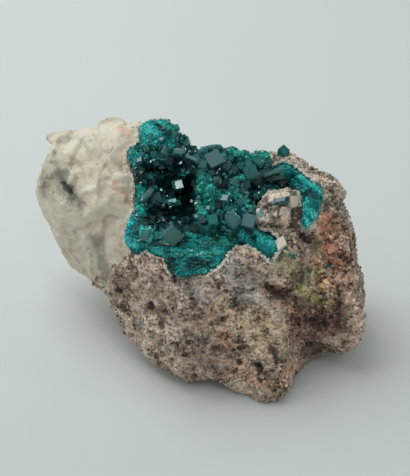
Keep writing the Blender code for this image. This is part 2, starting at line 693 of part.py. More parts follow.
def build_lone_crystal(rock, gem):
    """The crystal on the rear edge, set in a socket of the rock."""
    u, v, d, radius, half_length = LONE_CRYSTAL
    place = seen(u, v, d)
    body = bmesh.new()
    add_crystal(body, place, LONE_AXIS, LONE_SPIN, radius, half_length)
    lone = new_object("ridge_crystal", body, gem)
    socket = bmesh.new()
    room = half_length + LONE_SOCKET * LONE_SOCKET_LENGTH
    add_crystal(socket, place, LONE_AXIS, LONE_SPIN, radius + LONE_SOCKET, room)
    add_boolean(rock, "DIFFERENCE", as_cutter(new_object("lone_socket", socket)))
    return lone


def main():
    clear_scene()
    stone = stone_material("iron_stained_rock", ROCK_COLOUR, ROCK_ROUGHNESS)
    gem = gem_material("dioptase", GEM_COLOUR)
    lone_gem = gem_material("dioptase_lone", LONE_GEM_COLOUR)
    rock, floor = build_matrix(stone)
    build_crust(floor, gem)
    build_lone_crystal(rock, lone_gem)


main()
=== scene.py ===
import math

import bmesh
import bpy
import numpy as np
from mathutils import Euler, Matrix, Quaternion, Vector, noise
from mathutils.bvhtree import BVHTree
from mathutils.kdtree import KDTree


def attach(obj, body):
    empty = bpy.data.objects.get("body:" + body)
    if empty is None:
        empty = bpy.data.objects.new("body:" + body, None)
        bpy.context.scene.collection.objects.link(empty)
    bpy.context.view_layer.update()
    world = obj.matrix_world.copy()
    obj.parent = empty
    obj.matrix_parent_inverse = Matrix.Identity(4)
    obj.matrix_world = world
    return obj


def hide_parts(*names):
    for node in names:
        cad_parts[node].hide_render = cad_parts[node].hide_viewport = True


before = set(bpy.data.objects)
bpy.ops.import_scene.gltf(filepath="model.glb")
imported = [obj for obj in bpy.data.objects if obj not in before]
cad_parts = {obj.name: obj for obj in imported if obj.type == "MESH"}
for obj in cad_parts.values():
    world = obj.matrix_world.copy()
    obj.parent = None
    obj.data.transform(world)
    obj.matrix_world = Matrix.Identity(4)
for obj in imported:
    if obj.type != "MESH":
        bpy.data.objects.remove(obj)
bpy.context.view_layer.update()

# A dioptase specimen on its rock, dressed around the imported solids.
# Places on the face that the visitor sees are given as u to the right, v up and d away, in millimetres from lookAt.

mm = 0.001

look = {
    "tilt": math.radians(38.0),  # how steeply the visitor looks down
    "distance": 0.300,
    "lookAt": Vector((1.7, 1.4, 25.6)) * mm,
    "frameHeight": 0.1133,  # height of the picture at that distance
}
forward = Vector((0.0, math.cos(look["tilt"]), -math.sin(look["tilt"])))
upward = Vector((0.0, math.sin(look["tilt"]), math.cos(look["tilt"])))
eye = look["lookAt"] - forward * look["distance"]


def seen(u, v, d):
    # the place that stands at u, v, d for the visitor
    grow = (look["distance"] + d * mm) / look["distance"]
    return look["lookAt"] + forward * d * mm + (Vector((u, 0, 0)) + upward * v) * (mm * grow)


def asSeen(point):
    # u, v, d of a place
    offset = point - look["lookAt"]
    depth = offset.dot(forward)
    shrink = look["distance"] / (look["distance"] + depth)
    return Vector((offset.x * shrink, offset.dot(upward) * shrink, depth)) / mm


def treeOf(mesh):
    # lookup of rays and nearest places on a mesh
    work = bmesh.new()
    work.from_mesh(mesh)
    tree = BVHTree.FromBMesh(work)
    work.free()
    return tree


rockTree = treeOf(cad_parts["matrix"].data)
crustTree = treeOf(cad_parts["dioptase_crust"].data)
missDepth = {"rock": -6.0, "bed": 4.0}  # the depth given to a line of sight that meets nothing, in millimetres


def rayTo(u, v, tree):
    # where the line of sight through u, v meets a mesh, or None
    return tree.ray_cast(eye, (seen(u, v, 0.0) - eye).normalized())[0]


def onRock(u, v):
    place = rayTo(u, v, rockTree)
    return place if place is not None else seen(u, v, missDepth["rock"])


def placed(name, data):
    # an object in the scene for a mesh, a lamp or a camera
    made = bpy.data.objects.new(name, data)
    bpy.context.collection.objects.link(made)
    return made


def paint(mesh, name, values):
    # one value for each corner of the mesh, for the materials to read
    layer = mesh.attributes.new(name, "FLOAT", "POINT")
    layer.data.foreach_set("value", np.asarray(values, dtype=np.float32))


# Shader wiring


class Wire:
    # a socket whose arithmetic adds Math nodes
    def __init__(self, sheet, socket):
        self.sheet = sheet
        self.socket = socket

    def maths(self, operation, *others):
        inputs = dict(enumerate((self,) + others))
        return self.sheet.add("ShaderNodeMath", {"operation": operation}, inputs)

    def __add__(self, other):
        return self.maths("ADD", other)

    def __radd__(self, other):
        return self.maths("ADD", other)

    def __sub__(self, other):
        return self.maths("SUBTRACT", other)

    def __rsub__(self, other):
        return self.sheet.add("ShaderNodeMath", {"operation": "SUBTRACT"}, {0: other, 1: self})

    def __mul__(self, other):
        return self.maths("MULTIPLY", other)

    def __rmul__(self, other):
        return self.maths("MULTIPLY", other)

    def clamped(self):
        return self.sheet.add("ShaderNodeClamp", {}, {0: self})

    def between(self, low, high):
        # 0 at low, 1 at high, eased
        values = {"Value": self, "From Min": low, "From Max": high, "To Min": 0.0, "To Max": 1.0}
        return self.sheet.add("ShaderNodeMapRange", {"interpolation_type": "SMOOTHSTEP"}, values)


class Sheet:
    # one material and its nodes
    def __init__(self, name):
        self.material = bpy.data.materials.new(name)
        self.material.use_nodes = True
        self.nodes = self.material.node_tree.nodes
        self.links = self.material.node_tree.links
        self.nodes.clear()
        self.output = self.nodes.new("ShaderNodeOutputMaterial")

    def add(self, kind, settings, inputs, out=0):
        made = self.nodes.new(kind)
        for name, value in settings.items():
            if name == "stops":
                for place, shade in value[2:]:
                    made.color_ramp.elements.new(place)
                for element, (place, shade) in zip(made.color_ramp.elements, sorted(value)):
                    element.position = place
                    element.color = (*shade, 1.0)
            else:
                setattr(made, name, value)
        for name, value in inputs.items():
            self.feed(made.inputs[name], value)
        return Wire(self, made.outputs[out])

    def feed(self, socket, value):
        if isinstance(value, Wire):
            self.links.new(value.socket, socket)
        elif socket.type == "RGBA" and len(value) == 3:
            socket.default_value = (*value, 1.0)
        else:
            socket.default_value = value

    def blend(self, first, second, share):
        # colour that runs from first to second
        return self.add("ShaderNodeMix", {"data_type": "RGBA"}, {0: share, 6: first, 7: second}, out=2)

    def tinted(self, colour, shade):
        # colour times a grey value
        grey = self.add("ShaderNodeCombineColor", {}, {0: shade, 1: shade, 2: shade})
        settings = {"data_type": "RGBA", "blend_type": "MULTIPLY"}
        return self.add("ShaderNodeMix", settings, {0: 1.0, 6: colour, 7: grey}, out=2)

    def place(self):
        return self.add("ShaderNodeTexCoord", {}, {}, out=3)

    def moved(self, vector, scale, shift=(0, 0, 0), turn=(0, 0, 0)):
        inputs = {"Vector": vector, "Location": shift, "Rotation": turn, "Scale": scale}
        return self.add("ShaderNodeMapping", {}, inputs)

    def noise(self, vector, size, detail=3.0, rough=0.55):
        # clouds with lumps of the given size, in millimetres
        inputs = {"Vector": vector, "Scale": 1.0 / (size * mm), "Detail": detail, "Roughness": rough}
        return self.add("ShaderNodeTexNoise", {}, inputs)

    def cells(self, vector, size, out="Distance"):
        # a patchwork of cells of the given size, in millimetres
        inputs = {"Vector": vector, "Scale": 1.0 / (size * mm)}
        return self.add("ShaderNodeTexVoronoi", {}, inputs, out=out)

    def mark(self, name):
        # a value painted on the mesh
        return self.add("ShaderNodeAttribute", {"attribute_name": name}, {}, out=2)

    def finish(self, inputs, bump=None, volume=None):
        made = self.nodes.new("ShaderNodeBsdfPrincipled")
        for name, value in inputs.items():
            self.feed(made.inputs[name], value)
        if bump:
            height, depth = bump
            relief = self.add("ShaderNodeBump", {}, {"Height": height, "Distance": depth * mm, "Strength": 1.0})
            self.links.new(relief.socket, made.inputs["Normal"])
        self.links.new(made.outputs[0], self.output.inputs["Surface"])
        if volume:
            depthTint = self.add("ShaderNodeVolumeAbsorption", {}, volume)
            self.links.new(depthTint.socket, self.output.inputs["Volume"])
        return self.material


# Rock

rockTones = {
    "groundDark": (0.075, 0.046, 0.034),
    "ground": (0.51, 0.375, 0.285),
    "groundPale": (1.0, 0.86, 0.73),
    "warm": (0.58, 0.33, 0.24),
    "cool": (0.40, 0.39, 0.31),
    "chalk": (1.0, 0.92, 0.80),
    "cream": (0.87, 0.76, 0.605),
    "creamBright": (0.96, 0.86, 0.715),
    "creamShade": (0.60, 0.52, 0.41),
    # creamPaintedGleam is a painted highlight for the calcite's lit plateau and ridge
    "creamPaintedGleam": (0.95, 0.87, 0.72),
    # creamCloudAndShade is partly cloudy calcite and partly painted shade
    "creamCloudAndShade": (0.48, 0.385, 0.285),
    "lip": (1.0, 0.92, 0.80),
    "beige": (0.66, 0.55, 0.45),
    "rust": (0.78, 0.35, 0.215),
    "olive": (0.38, 0.35, 0.20),
    "lime": (0.56, 0.54, 0.20),
    "purple": (0.37, 0.205, 0.165),
    "umber": (0.34, 0.245, 0.185),
    "slate": (0.34, 0.315, 0.29),
    "blush": (0.86, 0.70, 0.58),
    "tan": (0.83, 0.63, 0.44),
    "grey": (0.59, 0.545, 0.49),
    # black stains, and painted shade in the carved gaps where some of their strokes lie
    "stain": (0.035, 0.034, 0.037),
    # dark grey: the grey-black stain on the calcite's left end, and painted shade on its lower face
    "smudge": (0.30, 0.285, 0.235),
    "pink": (0.79, 0.59, 0.49),
    "peach": (0.98, 0.58, 0.35),
}

# strokes of tone: u and v of both ends, radius, strength
rockStrokes = {
    # black stains, some of them laid in carved gaps as painted shade
    "stain": (
        (-34.4, 13.4, -32.9, 11.2, 1.2, 1.0), (-36.4, 21.6, -35.8, 18.8, 1.0, 0.42),
        (-36.6, 25.8, -36.4, 24.6, 0.9, 0.40), (-32.6, 9.8, -30.6, 8.4, 1.0, 0.40),
        (12.2, -30.0, 12.9, -31.2, 1.4, 0.85), (16.6, -26.4, 17.4, -28.4, 1.2, 0.7),
        (23.6, 0.8, 24.8, -0.6, 1.1, 0.75), (25.8, -1.6, 26.4, -2.8, 0.8, 0.5), (-20.7, -12.7, -20.2, -12.9, 0.7, 0.8),
        (-13.4, -15.6, -12.6, -16.4, 1.0, 0.7), (-8.0, -8.6, -7.2, -9.8, 0.7, 0.8),
        (13.8, -12.0, 18.4, -14.6, 1.3, 0.6), (20.6, -8.4, 22.4, -10.4, 1.2, 0.5),
    ),
    # the stain line on the calcite's left end, and painted shade on its lower face
    "smudge": (
        (-38.5, 14.6, -34.6, 13.6, 1.5, 0.7), (-36.8, 25.6, -34.4, 14.6, 2.2, 1.0),
        (-33.8, 12.6, -30.0, 8.0, 2.3, 0.9), (-40.2, 18.4, -38.6, 11.0, 2.2, 0.7),
        (-26.0, -0.8, -23.4, -9.4, 2.4, 0.85),
        (-39.4, 18.0, -37.4, 12.0, 1.6, 0.4), (-34.6, 4.6, -26.0, -9.6, 1.6, 0.35),
    ),
    "rust": (
        (-21.4, 12.6, -18.4, 9.0, 1.5, 0.75), (-20.4, 26.8, -18.2, 24.4, 1.5, 0.65),
        (-19.6, 20.6, -19.2, 18.0, 1.0, 0.5),
        (-31.2, 19.2, -30.4, 18.2, 1.3, 0.35), (28.6, 4.4, 31.4, -5.6, 2.9, 0.9), (32.4, 3.0, 33.8, -6.0, 1.9, 0.8),
        (18.8, -14.6, 23.2, -18.6, 1.6, 0.85), (26.4, -5.4, 27.0, -8.0, 1.1, 0.7), (18.0, -34.4, 21.6, -29.6, 1.4, 0.6),
        (4.0, -25.0, 9.2, -32.0, 3.4, 0.5), (10.6, -33.0, 15.0, -35.0, 2.4, 0.5),
        (-19.0, 4.6, -18.6, -1.6, 1.2, 0.3), (31.4, -4.6, 34.0, -11.0, 2.6, 0.55),
        (17.6, -12.6, 21.0, -16.8, 1.6, 0.7), (-3.0, -20.0, 1.6, -23.0, 2.4, 0.3),
    ),
    "olive": (
        (18.6, -5.4, 26.6, -10.8, 2.9, 1.0), (22.0, -11.0, 26.0, -15.4, 2.6, 0.9),
        (34.0, -16.6, 33.0, -22.4, 1.6, 0.5), (15.4, -33.4, 16.4, -37.2, 2.4, 0.5),
        (7.0, -2.8, 10.4, -3.6, 1.2, 0.4), (17.2, 1.6, 27.0, -4.0, 2.2, 0.4),
    ),
    "lime": (
        (22.0, -11.8, 24.4, -13.4, 1.2, 1.0), (26.0, -13.8, 29.0, -16.2, 1.3, 1.0), (19.4, -8.6, 21.6, -10.6, 1.1, 0.5),
        (25.6, -6.4, 26.4, -12.4, 0.8, 0.7),
        (16.4, -34.4, 17.2, -36.6, 1.2, 0.5), (27.0, 1.0, 27.4, -8.0, 1.0, 0.45),
    ),
    "umber": (
        (-18.6, -8.6, -6.0, -13.0, 3.0, 0.32), (-14.0, -12.0, -4.0, -19.0, 3.4, 0.25),
        (28.6, 3.0, 31.6, -8.0, 0.8, 0.6),
        (25.6, -3.4, 27.2, -9.6, 0.8, 0.6), (30.4, -9.8, 33.0, -15.0, 0.9, 0.6),
        (-20.4, -11.0, -10.6, -12.6, 2.2, 0.75), (-13.0, -16.0, -12.0, -17.0, 1.6, 0.9),
        (4.4, -15.8, 7.0, -17.0, 1.3, 0.9),
        (-4.4, -27.4, 1.8, -29.2, 1.8, 0.85), (-21.0, -9.4, -19.4, -13.4, 1.3, 0.7),
        (-8.6, -31.6, 0.0, -34.0, 1.2, 0.6),
        (12.6, -18.6, 15.8, -22.6, 1.6, 0.6), (-11.0, -8.6, -9.6, -12.0, 1.1, 0.5),
        (16.6, -22.0, 20.0, -29.0, 2.2, 0.7),
    ),
    "slate": (
        (-4.6, -12.4, 0.6, -14.6, 2.2, 0.75), (-16.6, -20.0, -13.6, -22.0, 1.5, 0.75),
        (-2.0, -23.4, 2.4, -25.4, 1.6, 0.4),
        (-19.6, -15.2, -16.0, -17.4, 1.4, 0.4), (-0.6, -30.2, 3.4, -30.8, 1.4, 0.6),
    ),
    "blush": (
        (-13.0, -19.6, -6.0, -24.6, 2.6, 0.6), (-19.4, -6.2, -15.0, -6.4, 1.3, 0.6),
        (-10.8, -28.8, -7.4, -31.2, 1.5, 0.7),
        (-11.4, -8.0, -4.2, -14.4, 0.7, 0.8), (-20.6, -17.0, -17.6, -21.0, 1.3, 0.5), (3.2, -8.6, 5.4, -13.8, 0.7, 0.7),
        (6.6, -27.6, 8.6, -30.8, 1.2, 0.8), (-7.4, -14.6, -2.0, -18.6, 1.2, 0.45), (17.4, -30.2, 19.4, -35.0, 1.1, 0.5),
    ),
    "purple": (
        (13.4, -11.6, 18.6, -14.6, 1.3, 0.8), (20.6, -20.4, 30.0, -20.6, 3.4, 1.0),
        (31.0, -15.6, 32.4, -21.6, 1.2, 0.7),
        (25.4, -16.4, 31.6, -16.8, 2.2, 0.9), (20.4, -24.0, 27.4, -25.4, 2.2, 0.8),
        (33.0, -16.6, 36.4, -18.6, 1.4, 0.35), (0.6, -17.0, 3.4, -18.6, 1.6, 0.4),
    ),
    "tan": ((5.4, -18.4, 17.2, -24.6, 5.2, 0.85), (-13.4, -24.0, -9.4, -30.4, 3.0, 0.4)),
    "grey": ((6.8, -7.2, 10.8, -13.2, 3.2, 1.0), (-12.8, -11.0, 3.0, -10.4, 2.6, 0.4)),
    "pink": (
        (35.6, -14.4, 36.0, -23.6, 2.6, 0.7), (32.0, -9.0, 34.4, -16.0, 1.5, 0.8), (16.8, 0.0, 21.6, -2.8, 1.9, 0.85),
        (7.6, -3.0, 14.0, -5.6, 1.7, 0.75), (-18.8, -3.6, -11.0, -6.6, 1.8, 0.65),
        (-18.6, 6.0, -19.8, 0.0, 1.3, 0.65), (-25.2, 19.8, -19.2, 19.6, 1.6, 0.35),
    ),
    "beige": (
        (12.4, 10.4, 22.4, 9.6, 3.4, 1.0), (13.4, 5.4, 22.0, 3.6, 3.6, 1.0), (18.4, 18.6, 24.6, 17.0, 1.8, 1.0),
        (24.6, 17.0, 31.0, 12.0, 1.9, 0.9), (28.8, 12.4, 33.0, 6.4, 2.6, 0.8), (9.6, 19.6, 12.8, 19.4, 1.4, 1.0),
        (10.8, -5.0, 13.8, -7.4, 1.3, 0.9), (14.0, -8.6, 18.6, -10.2, 1.3, 0.9), (31.8, -1.0, 35.0, -3.0, 1.1, 0.9),
        (-10.0, 28.6, -4.0, 24.0, 1.6, 0.6), (32.6, -8.6, 34.4, -14.0, 1.4, 0.5),
    ),
    # painted highlights: lighter cream where the calcite's plateau and ridge catch the light
    "gleam": (
        (-31.2, 5.0, -28.2, -5.2, 2.4, 0.75),
        (-33.0, 23.2, -28.0, 22.4, 1.7, 0.9), (-30.0, 24.6, -21.6, 26.6, 1.8, 1.0),
        (-28.6, 11.7, -21.4, 13.3, 1.0, 1.0),
        (-19.4, 15.4, -17.8, 14.6, 1.3, 0.7), (-34.6, 19.0, -33.8, 17.0, 0.7, 0.6),
        (-26.8, 16.9, -25.4, 16.3, 0.6, 0.7),
        (-29.6, 10.2, -28.4, 8.6, 0.8, 0.6), (-20.6, 2.6, -20.0, -0.6, 0.9, 0.6), (-32.4, 14.4, -31.0, 11.4, 0.7, 0.5),
        (-24.0, 14.6, -20.6, 15.6, 0.7, 0.6), (-20.4, -3.4, -16.6, -5.6, 0.8, 0.5),
    ),
    # darker cream: partly cloudy calcite, partly painted shade on the calcite's middle and lower faces
    "cloudy": (
        (-32.4, 19.8, -20.4, 20.6, 1.2, 0.55), (-31.6, 18.4, -30.2, 17.4, 1.2, 0.55),
        (-29.6, 15.2, -26.0, 15.6, 1.4, 0.5),
        (-24.4, 18.0, -20.4, 17.8, 1.6, 0.75), (-22.4, 8.0, -21.6, -2.0, 1.2, 0.4),
        (-35.4, 5.0, -26.0, -4.0, 2.6, 0.25),
        (-37.6, 13.0, -35.8, 9.0, 1.5, 0.5), (-39.0, 17.4, -38.4, 16.4, 0.8, 0.6), (-29.0, 4.6, -27.0, 1.0, 1.6, 0.3),
        (-30.6, -5.0, -28.4, -8.6, 1.2, 0.6), (-25.6, 9.0, -22.6, 4.0, 1.8, 0.3),
    ),
    "peach": (
        (27.0, -9.4, 30.8, -12.2, 1.9, 1.0), (19.4, -34.0, 18.6, -31.6, 1.2, 0.4), (28.6, -2.0, 27.8, -4.6, 0.8, 0.4),
    ),
}

# lumps and hollows: u and v of both ends, radius, height (negative for a hollow), in millimetres
reliefStrokes = (
    (25.2, -26.4, 29.2, -28.2, 1.9, -2.6), (19.6, -13.4, 23.4, -16.6, 1.0, -1.4), (14.6, -11.0, 19.8, -14.6, 0.9, -1.2),
    (23.4, 1.0, 25.0, -0.8, 1.0, -1.5), (-8.0, -8.6, -7.0, -10.4, 0.6, -1.0), (-20.8, -12.6, -20.2, -13.0, 0.6, -0.8),
    (-13.4, -15.4, -12.6, -16.6, 0.8, -1.2), (12.4, -29.6, 13.0, -31.6, 1.0, -1.4),
    (15.6, -25.6, 17.0, -29.8, 0.9, -1.3),
    (26.6, -8.0, 29.4, -10.4, 1.5, 0.9), (7.4, -3.2, 14.0, -5.6, 1.5, 0.8), (17.2, -1.4, 21.4, -3.2, 1.3, 0.8),
    (33.8, -10.0, 35.0, -20.0, 2.4, 0.7), (31.6, -12.0, 32.0, -22.0, 1.0, -1.1), (24.0, -19.4, 27.4, -20.8, 1.3, -0.9),
    (-36.4, 25.6, -34.6, 14.0, 1.4, -0.65), (-34.6, 14.0, -31.6, 9.4, 1.4, -0.7), (-29.6, 10.2, -18.6, 14.4, 1.1, 0.6),
    (-32.4, 18.0, -19.0, 17.4, 2.2, -0.5), (-25.6, -1.4, -23.6, -9.0, 1.9, -0.5), (4.4, -5.4, 5.6, -14.0, 0.5, 0.5),
    (-17.6, -13.6, -7.6, -19.0, 0.8, -0.6), (-4.6, -13.0, 1.4, -17.6, 0.8, -0.5), (20.4, 8.4, 23.4, -1.0, 0.7, -0.9),
    (8.6, -16.8, 15.6, -18.6, 0.9, -0.7), (2.0, -26.0, 8.0, -29.0, 0.9, -0.8), (-2.0, -30.4, 4.0, -33.4, 0.8, -0.6),
)

# carved hollows deeper than paintedShadeDepth get painted shade as well
paintedShadeDepth = -0.7  # relief strokes deeper than this are darkened too

rockForm = {
    "voxel": 0.42 * mm,
    "easing": 2,
    # size, height (in millimetres) and seed of each kind of relief
    "lump": (4.8, 0.50, 4),
    "crag": (2.9, 0.62, 9),
    "knob": (1.45, 0.24, 5),
    "grain": (0.80, 0.15, 6),
    "pit": (1.9, 0.95, 7),
    "pitted": (6.5, 2.2, 12),  # where pits come in swarms
    "cleavage": (Vector((-0.45, -0.30, 0.84)).normalized(), 2.3, 0.24),  # direction, step and height of the ledges
    "ledgeWander": (5.5, 0.55, 8),
    "cragLevel": 0.35,
    "pitLevel": (0.34, 0.25),
    "eased": {"cream": 0.72, "grey": 0.45},  # how much smoother these kinds of rock are
    "rugged": 1.3,  # and how much rougher the iron-stained kinds
    "rimWidth": 1.15,  # of the pale lip round the hollow
    "rimLift": (0.9, 0.45, 0.12),  # within this distance of the lining the relief is scaled and raised
    "hiddenReach": (1.6, 2.5),  # how near the lining hidden rock lies, and how far it looks for it
    "behind": 0.28,  # how far the rock keeps back from the lining
    "level": 0.25,  # the flat underside is left alone below this height
    "backFacing": (-0.2, 0.4),  # where the skin turns from the visitor, and over how much
}

calcite = {
    "line": ((-18.3, -4.2), (-28.6, -11.5)),  # cream calcite lies above this line on the face
    "reach": -13.0,  # and on the back no further along u than this
    "back": (4.0, 8.0),  # where its far edge begins to wander, and over how much
    "backWander": (12.0, 9.0, 13),  # size, height, seed
    "wander": ((6.0, 1.5, 2), (2.0, 0.9, 3)),
    "sharpness": 1.8,
}


def ramp(values, start, over):
    # 0 up to start, then rising to 1 over the given range
    return ((values - start) / over).clip(0.0, 1.0)


def noiseAt(points, size, seed):
    # smooth noise between -1 and 1 at each point, with lumps of the given size
    shift = Vector((seed * 3.7, seed * 1.3, seed * 7.1))
    return np.array([noise.noise(Vector(point) / size + shift) for point in points])


def warpedPoints(points, size=2.4, reach=0.9):
    # points pushed about by noise, so that strokes laid over them get ragged edges
    return points + np.stack([noiseAt(points, size, seed) for seed in (31, 32, 33)], axis=1) * reach


def strokeValues(points, strokes):
    # how strongly each point is touched by a set of strokes
    value = np.zeros(len(points))
    for u1, v1, u2, v2, radius, strength in strokes:
        start = np.array(onRock(u1, v1)) / mm
        end = np.array(onRock(u2, v2)) / mm
        along = end - start
        share = ((points - start) @ along / max(along @ along, 1e-6)).clip(0, 1)
        away = np.linalg.norm(points - start - share[:, None] * along, axis=1) / radius
        value = np.maximum(value, strength * np.exp(-(away ** 2) * 0.9))
    return value


def meshArrays(mesh):
    count = len(mesh.vertices)
    places = np.empty(count * 3)
    normals = np.empty(count * 3)
    mesh.vertices.foreach_get("co", places)
    mesh.vertices.foreach_get("normal", normals)
    return places.reshape(-1, 3) / mm, normals.reshape(-1, 3)


def evaluatedMesh(shape, name):
    # the mesh as its modifiers leave it, on an object of its own
    graph = bpy.context.evaluated_depsgraph_get()
    mesh = bpy.data.meshes.new_from_object(shape.evaluated_get(graph))
    mesh.name = name
    made = placed(name, mesh)
    bpy.data.objects.remove(shape, do_unlink=True)
    return made


def evenSkin(node, name, form):
    # a solid of the frame under an even skin of small faces, with its edges eased
    work = bmesh.new()
    work.from_mesh(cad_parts[node].data)
    bmesh.ops.remove_doubles(work, verts=work.verts[:], dist=1e-7)
    mesh = bpy.data.meshes.new("rough" + name)
    work.to_mesh(mesh)
    work.free()
    rough = placed("rough" + name, mesh)
    remesh = rough.modifiers.new("Even skin", "REMESH")
    remesh.mode = "VOXEL"
    remesh.voxel_size = form["voxel"]
    skin = evaluatedMesh(rough, name)
    work = bmesh.new()
    work.from_mesh(skin.data)
    for _ in range(form["easing"]):
        bmesh.ops.smooth_vert(
            work, verts=work.verts[:], factor=0.5, use_axis_x=True, use_axis_y=True, use_axis_z=True)
    work.to_mesh(skin.data)
    work.free()
    return skin


def calciteShare(points):
    # 1 on the cream calcite at the left, 0 on the granular rock
    first, second = (np.array(onRock(*ends)) / mm for ends in calcite["line"])
    across = np.cross(second - first, np.array(forward))
    across /= np.linalg.norm(across) * (1 if across[2] > 0 else -1)
    above = (points - first) @ across
    size, height, seed = calcite["backWander"]
    farSide = ramp(points[:, 1], *calcite["back"])
    left = calcite["reach"] - points[:, 0] + farSide * height * noiseAt(points, size, seed)
    wander = sum(height * noiseAt(points, size, seed) for size, height, seed in calcite["wander"])
    inside = np.minimum(above, left) + wander
    return 1.0 / (1.0 + np.exp(-inside * calcite["sharpness"]))


def facesCrust(points, normals, reach):
    # which points of the rock look at the crystal lining, and so lie hidden behind it
    hidden = np.zeros(len(points), bool)
    for index, (point, normal) in enumerate(zip(points, normals)):
        hit = crustTree.ray_cast(Vector(point) * mm, Vector(normal), reach * mm)[0]
        hidden[index] = hit is not None
    return hidden


cleaving = {
    "spacing": 5.2,  # between the middles of the flat faces, in millimetres
    "around": 0.6,  # the part of the spacing over which the skin's normal is averaged
    "tilt": 0.096,
    "reach": 0.95,  # the furthest that the skin moves
    "share": 0.85,
    "raise": 0.25,
    "creamFrom": 0.3,
    "tries": 3000,
    "planes": 3,  # each place goes to the lowest of this many
    "facing": (0.3, 0.35),  # fades where the skin is seen edge on
    "seed": 3,
}


def facingShare(points, normals):
    # the cosine between the skin's normal and the way to the visitor's eye
    toEye = np.array(eye) / mm - points
    return np.einsum("ij,ij->i", toEye, normals) / np.linalg.norm(toEye, axis=1)


def cleaved(points, normals, cream):
    # how far the calcite's skin moves to lie on flat faces
    rng = np.random.default_rng(cleaving["seed"])
    where = np.flatnonzero(cream > cleaving["creamFrom"])
    seeds = []
    for index in rng.permutation(where)[:cleaving["tries"]]:
        if all(np.linalg.norm(points[index] - points[seed]) > cleaving["spacing"] for seed in seeds):
            seeds.append(index)
    planes = []
    for seed in seeds:
        around = np.linalg.norm(points[where] - points[seed], axis=1) < cleaving["spacing"] * cleaving["around"]
        normal = normals[where][around].mean(axis=0) + rng.normal(size=3) * cleaving["tilt"]
        planes.append(normal / np.linalg.norm(normal))
    planes = np.array(planes)
    away = np.linalg.norm(points[where][:, None] - points[seeds][None], axis=2)
    heights = []
    for nearest in np.argsort(away, axis=1)[:, :cleaving["planes"]].T:
        heights.append(np.einsum("ij,ij->i", points[seeds][nearest] - points[where], planes[nearest]))
    lift = np.zeros(len(points))
    lowest = np.min(heights, axis=0) + cleaving["raise"]
    inner = ramp(np.abs(facingShare(points[where], normals[where])), *cleaving["facing"])
    lift[where] = lowest.clip(-cleaving["reach"], cleaving["reach"]) * cleaving["share"] * cream[where] * inner
    return lift


def pitDepth(points, marks, coarse):
    # 0 on whole rock, 1 in the pits
    size, _, seed = rockForm["pit"]
    hole = ramp(noiseAt(points, size, seed), *rockForm["pitLevel"])
    size, steep, seed = rockForm["pitted"]
    hole *= (0.5 + steep * noiseAt(points, size, seed)).clip(0.0, 1.0)
    return hole * ((1.0 - 0.7 * np.maximum(marks["tan"], np.maximum(marks["beige"], marks["grey"]))) * coarse)


def rockRelief(points, normals, marks):
    # how far the rock's skin is raised at each point, in millimetres
    cream = marks["cream"]
    coarse = 1.0
    for name, share in rockForm["eased"].items():
        coarse = coarse * (1.0 - share * marks[name])
    stained = np.maximum(marks["olive"], np.maximum(marks["purple"], marks["rust"]))
    rugged = coarse * (1.0 + rockForm["rugged"] * stained)

    lift = np.zeros(len(points))
    size, height, seed = rockForm["lump"]
    lift += noiseAt(points, size, seed) * height * (0.35 + 0.65 * coarse)
    size, height, seed = rockForm["crag"]
    lift += (rockForm["cragLevel"] - np.abs(noiseAt(points, size, seed))) * height * rugged
    for name in ("knob", "grain"):
        size, height, seed = rockForm[name]
        lift += noiseAt(points, size, seed) * height * rugged
    # the pits' depth is also the painted shade that darkens them
    marks["hollow"] = pitDepth(points, marks, coarse)
    lift -= marks["hollow"] * rockForm["pit"][1]
    direction, step, height = rockForm["cleavage"]
    size, wander, seed = rockForm["ledgeWander"]
    rise = points @ np.array(direction) / step + wander * noiseAt(points, size, seed)
    lift += (rise - np.floor(rise) - 0.5) * height * cream
    return lift + cleaved(points, normals, cream)


def buildRock():
    rock = evenSkin("matrix", "hostRock", rockForm)
    points, normals = meshArrays(rock.data)

    warped = warpedPoints(points)
    marks = {name: strokeValues(warped, strokes) for name, strokes in rockStrokes.items()}
    marks["cream"] = calciteShare(points)
    near = np.array([crustTree.find_nearest(Vector(point) * mm, 5 * mm)[3] or 5 * mm for point in points]) / mm
    marks["rim"] = np.exp(-((near / rockForm["rimWidth"]) ** 2))
    lift = rockRelief(points, normals, marks)
    for *stroke, height in reliefStrokes:
        touched = strokeValues(warped, ((*stroke, 1.0),))
        lift += touched * height
        # hollows deeper than paintedShadeDepth get painted shade
        if height < paintedShadeDepth:
            marks["hollow"] = np.maximum(marks["hollow"], touched.clip(0, 1) * 0.9)

    lift[points[:, 2] < rockForm["level"]] = 0.0
    reach, share, rise = rockForm["rimLift"]
    lift = np.where(near < reach, lift * share + rise, lift)
    reach, search = rockForm["hiddenReach"]
    hidden = (near < reach) & facesCrust(points, normals, search)
    lift[hidden] = -rockForm["behind"]
    points += normals * lift[:, None]
    points = stepBack(points, hidden)
    points[:, 2] = np.maximum(points[:, 2], 0.0)
    rock.data.vertices.foreach_set("co", (points * mm).ravel())
    marks["behind"] = ramp(-facingShare(points, normals), *rockForm["backFacing"])
    marks["shade"] = np.zeros(len(points))
    marks["hue"] = np.full(len(points), 0.5)
    for name, values in marks.items():
        paint(rock.data, name, values)
    rock.data.update()
    rock.data.shade_smooth()
    rock.data.materials.append(rockMaterial())
    print("rock:", len(rock.data.polygons), "faces")
    return rock, marks, near


grains = {
    "count": 12500,
    "size": (0.08, 0.27),
    "rimCount": 2600,
    "rimSize": (0.10, 0.26),
    "rimReach": (0.35, 1.15),
    "shade": (0.28, 0.04),  # spread and middle
    "skew": 2.4,  # how much commoner the small ones are
    "sunk": 0.15,  # of the radius
    "seed": 21,
}


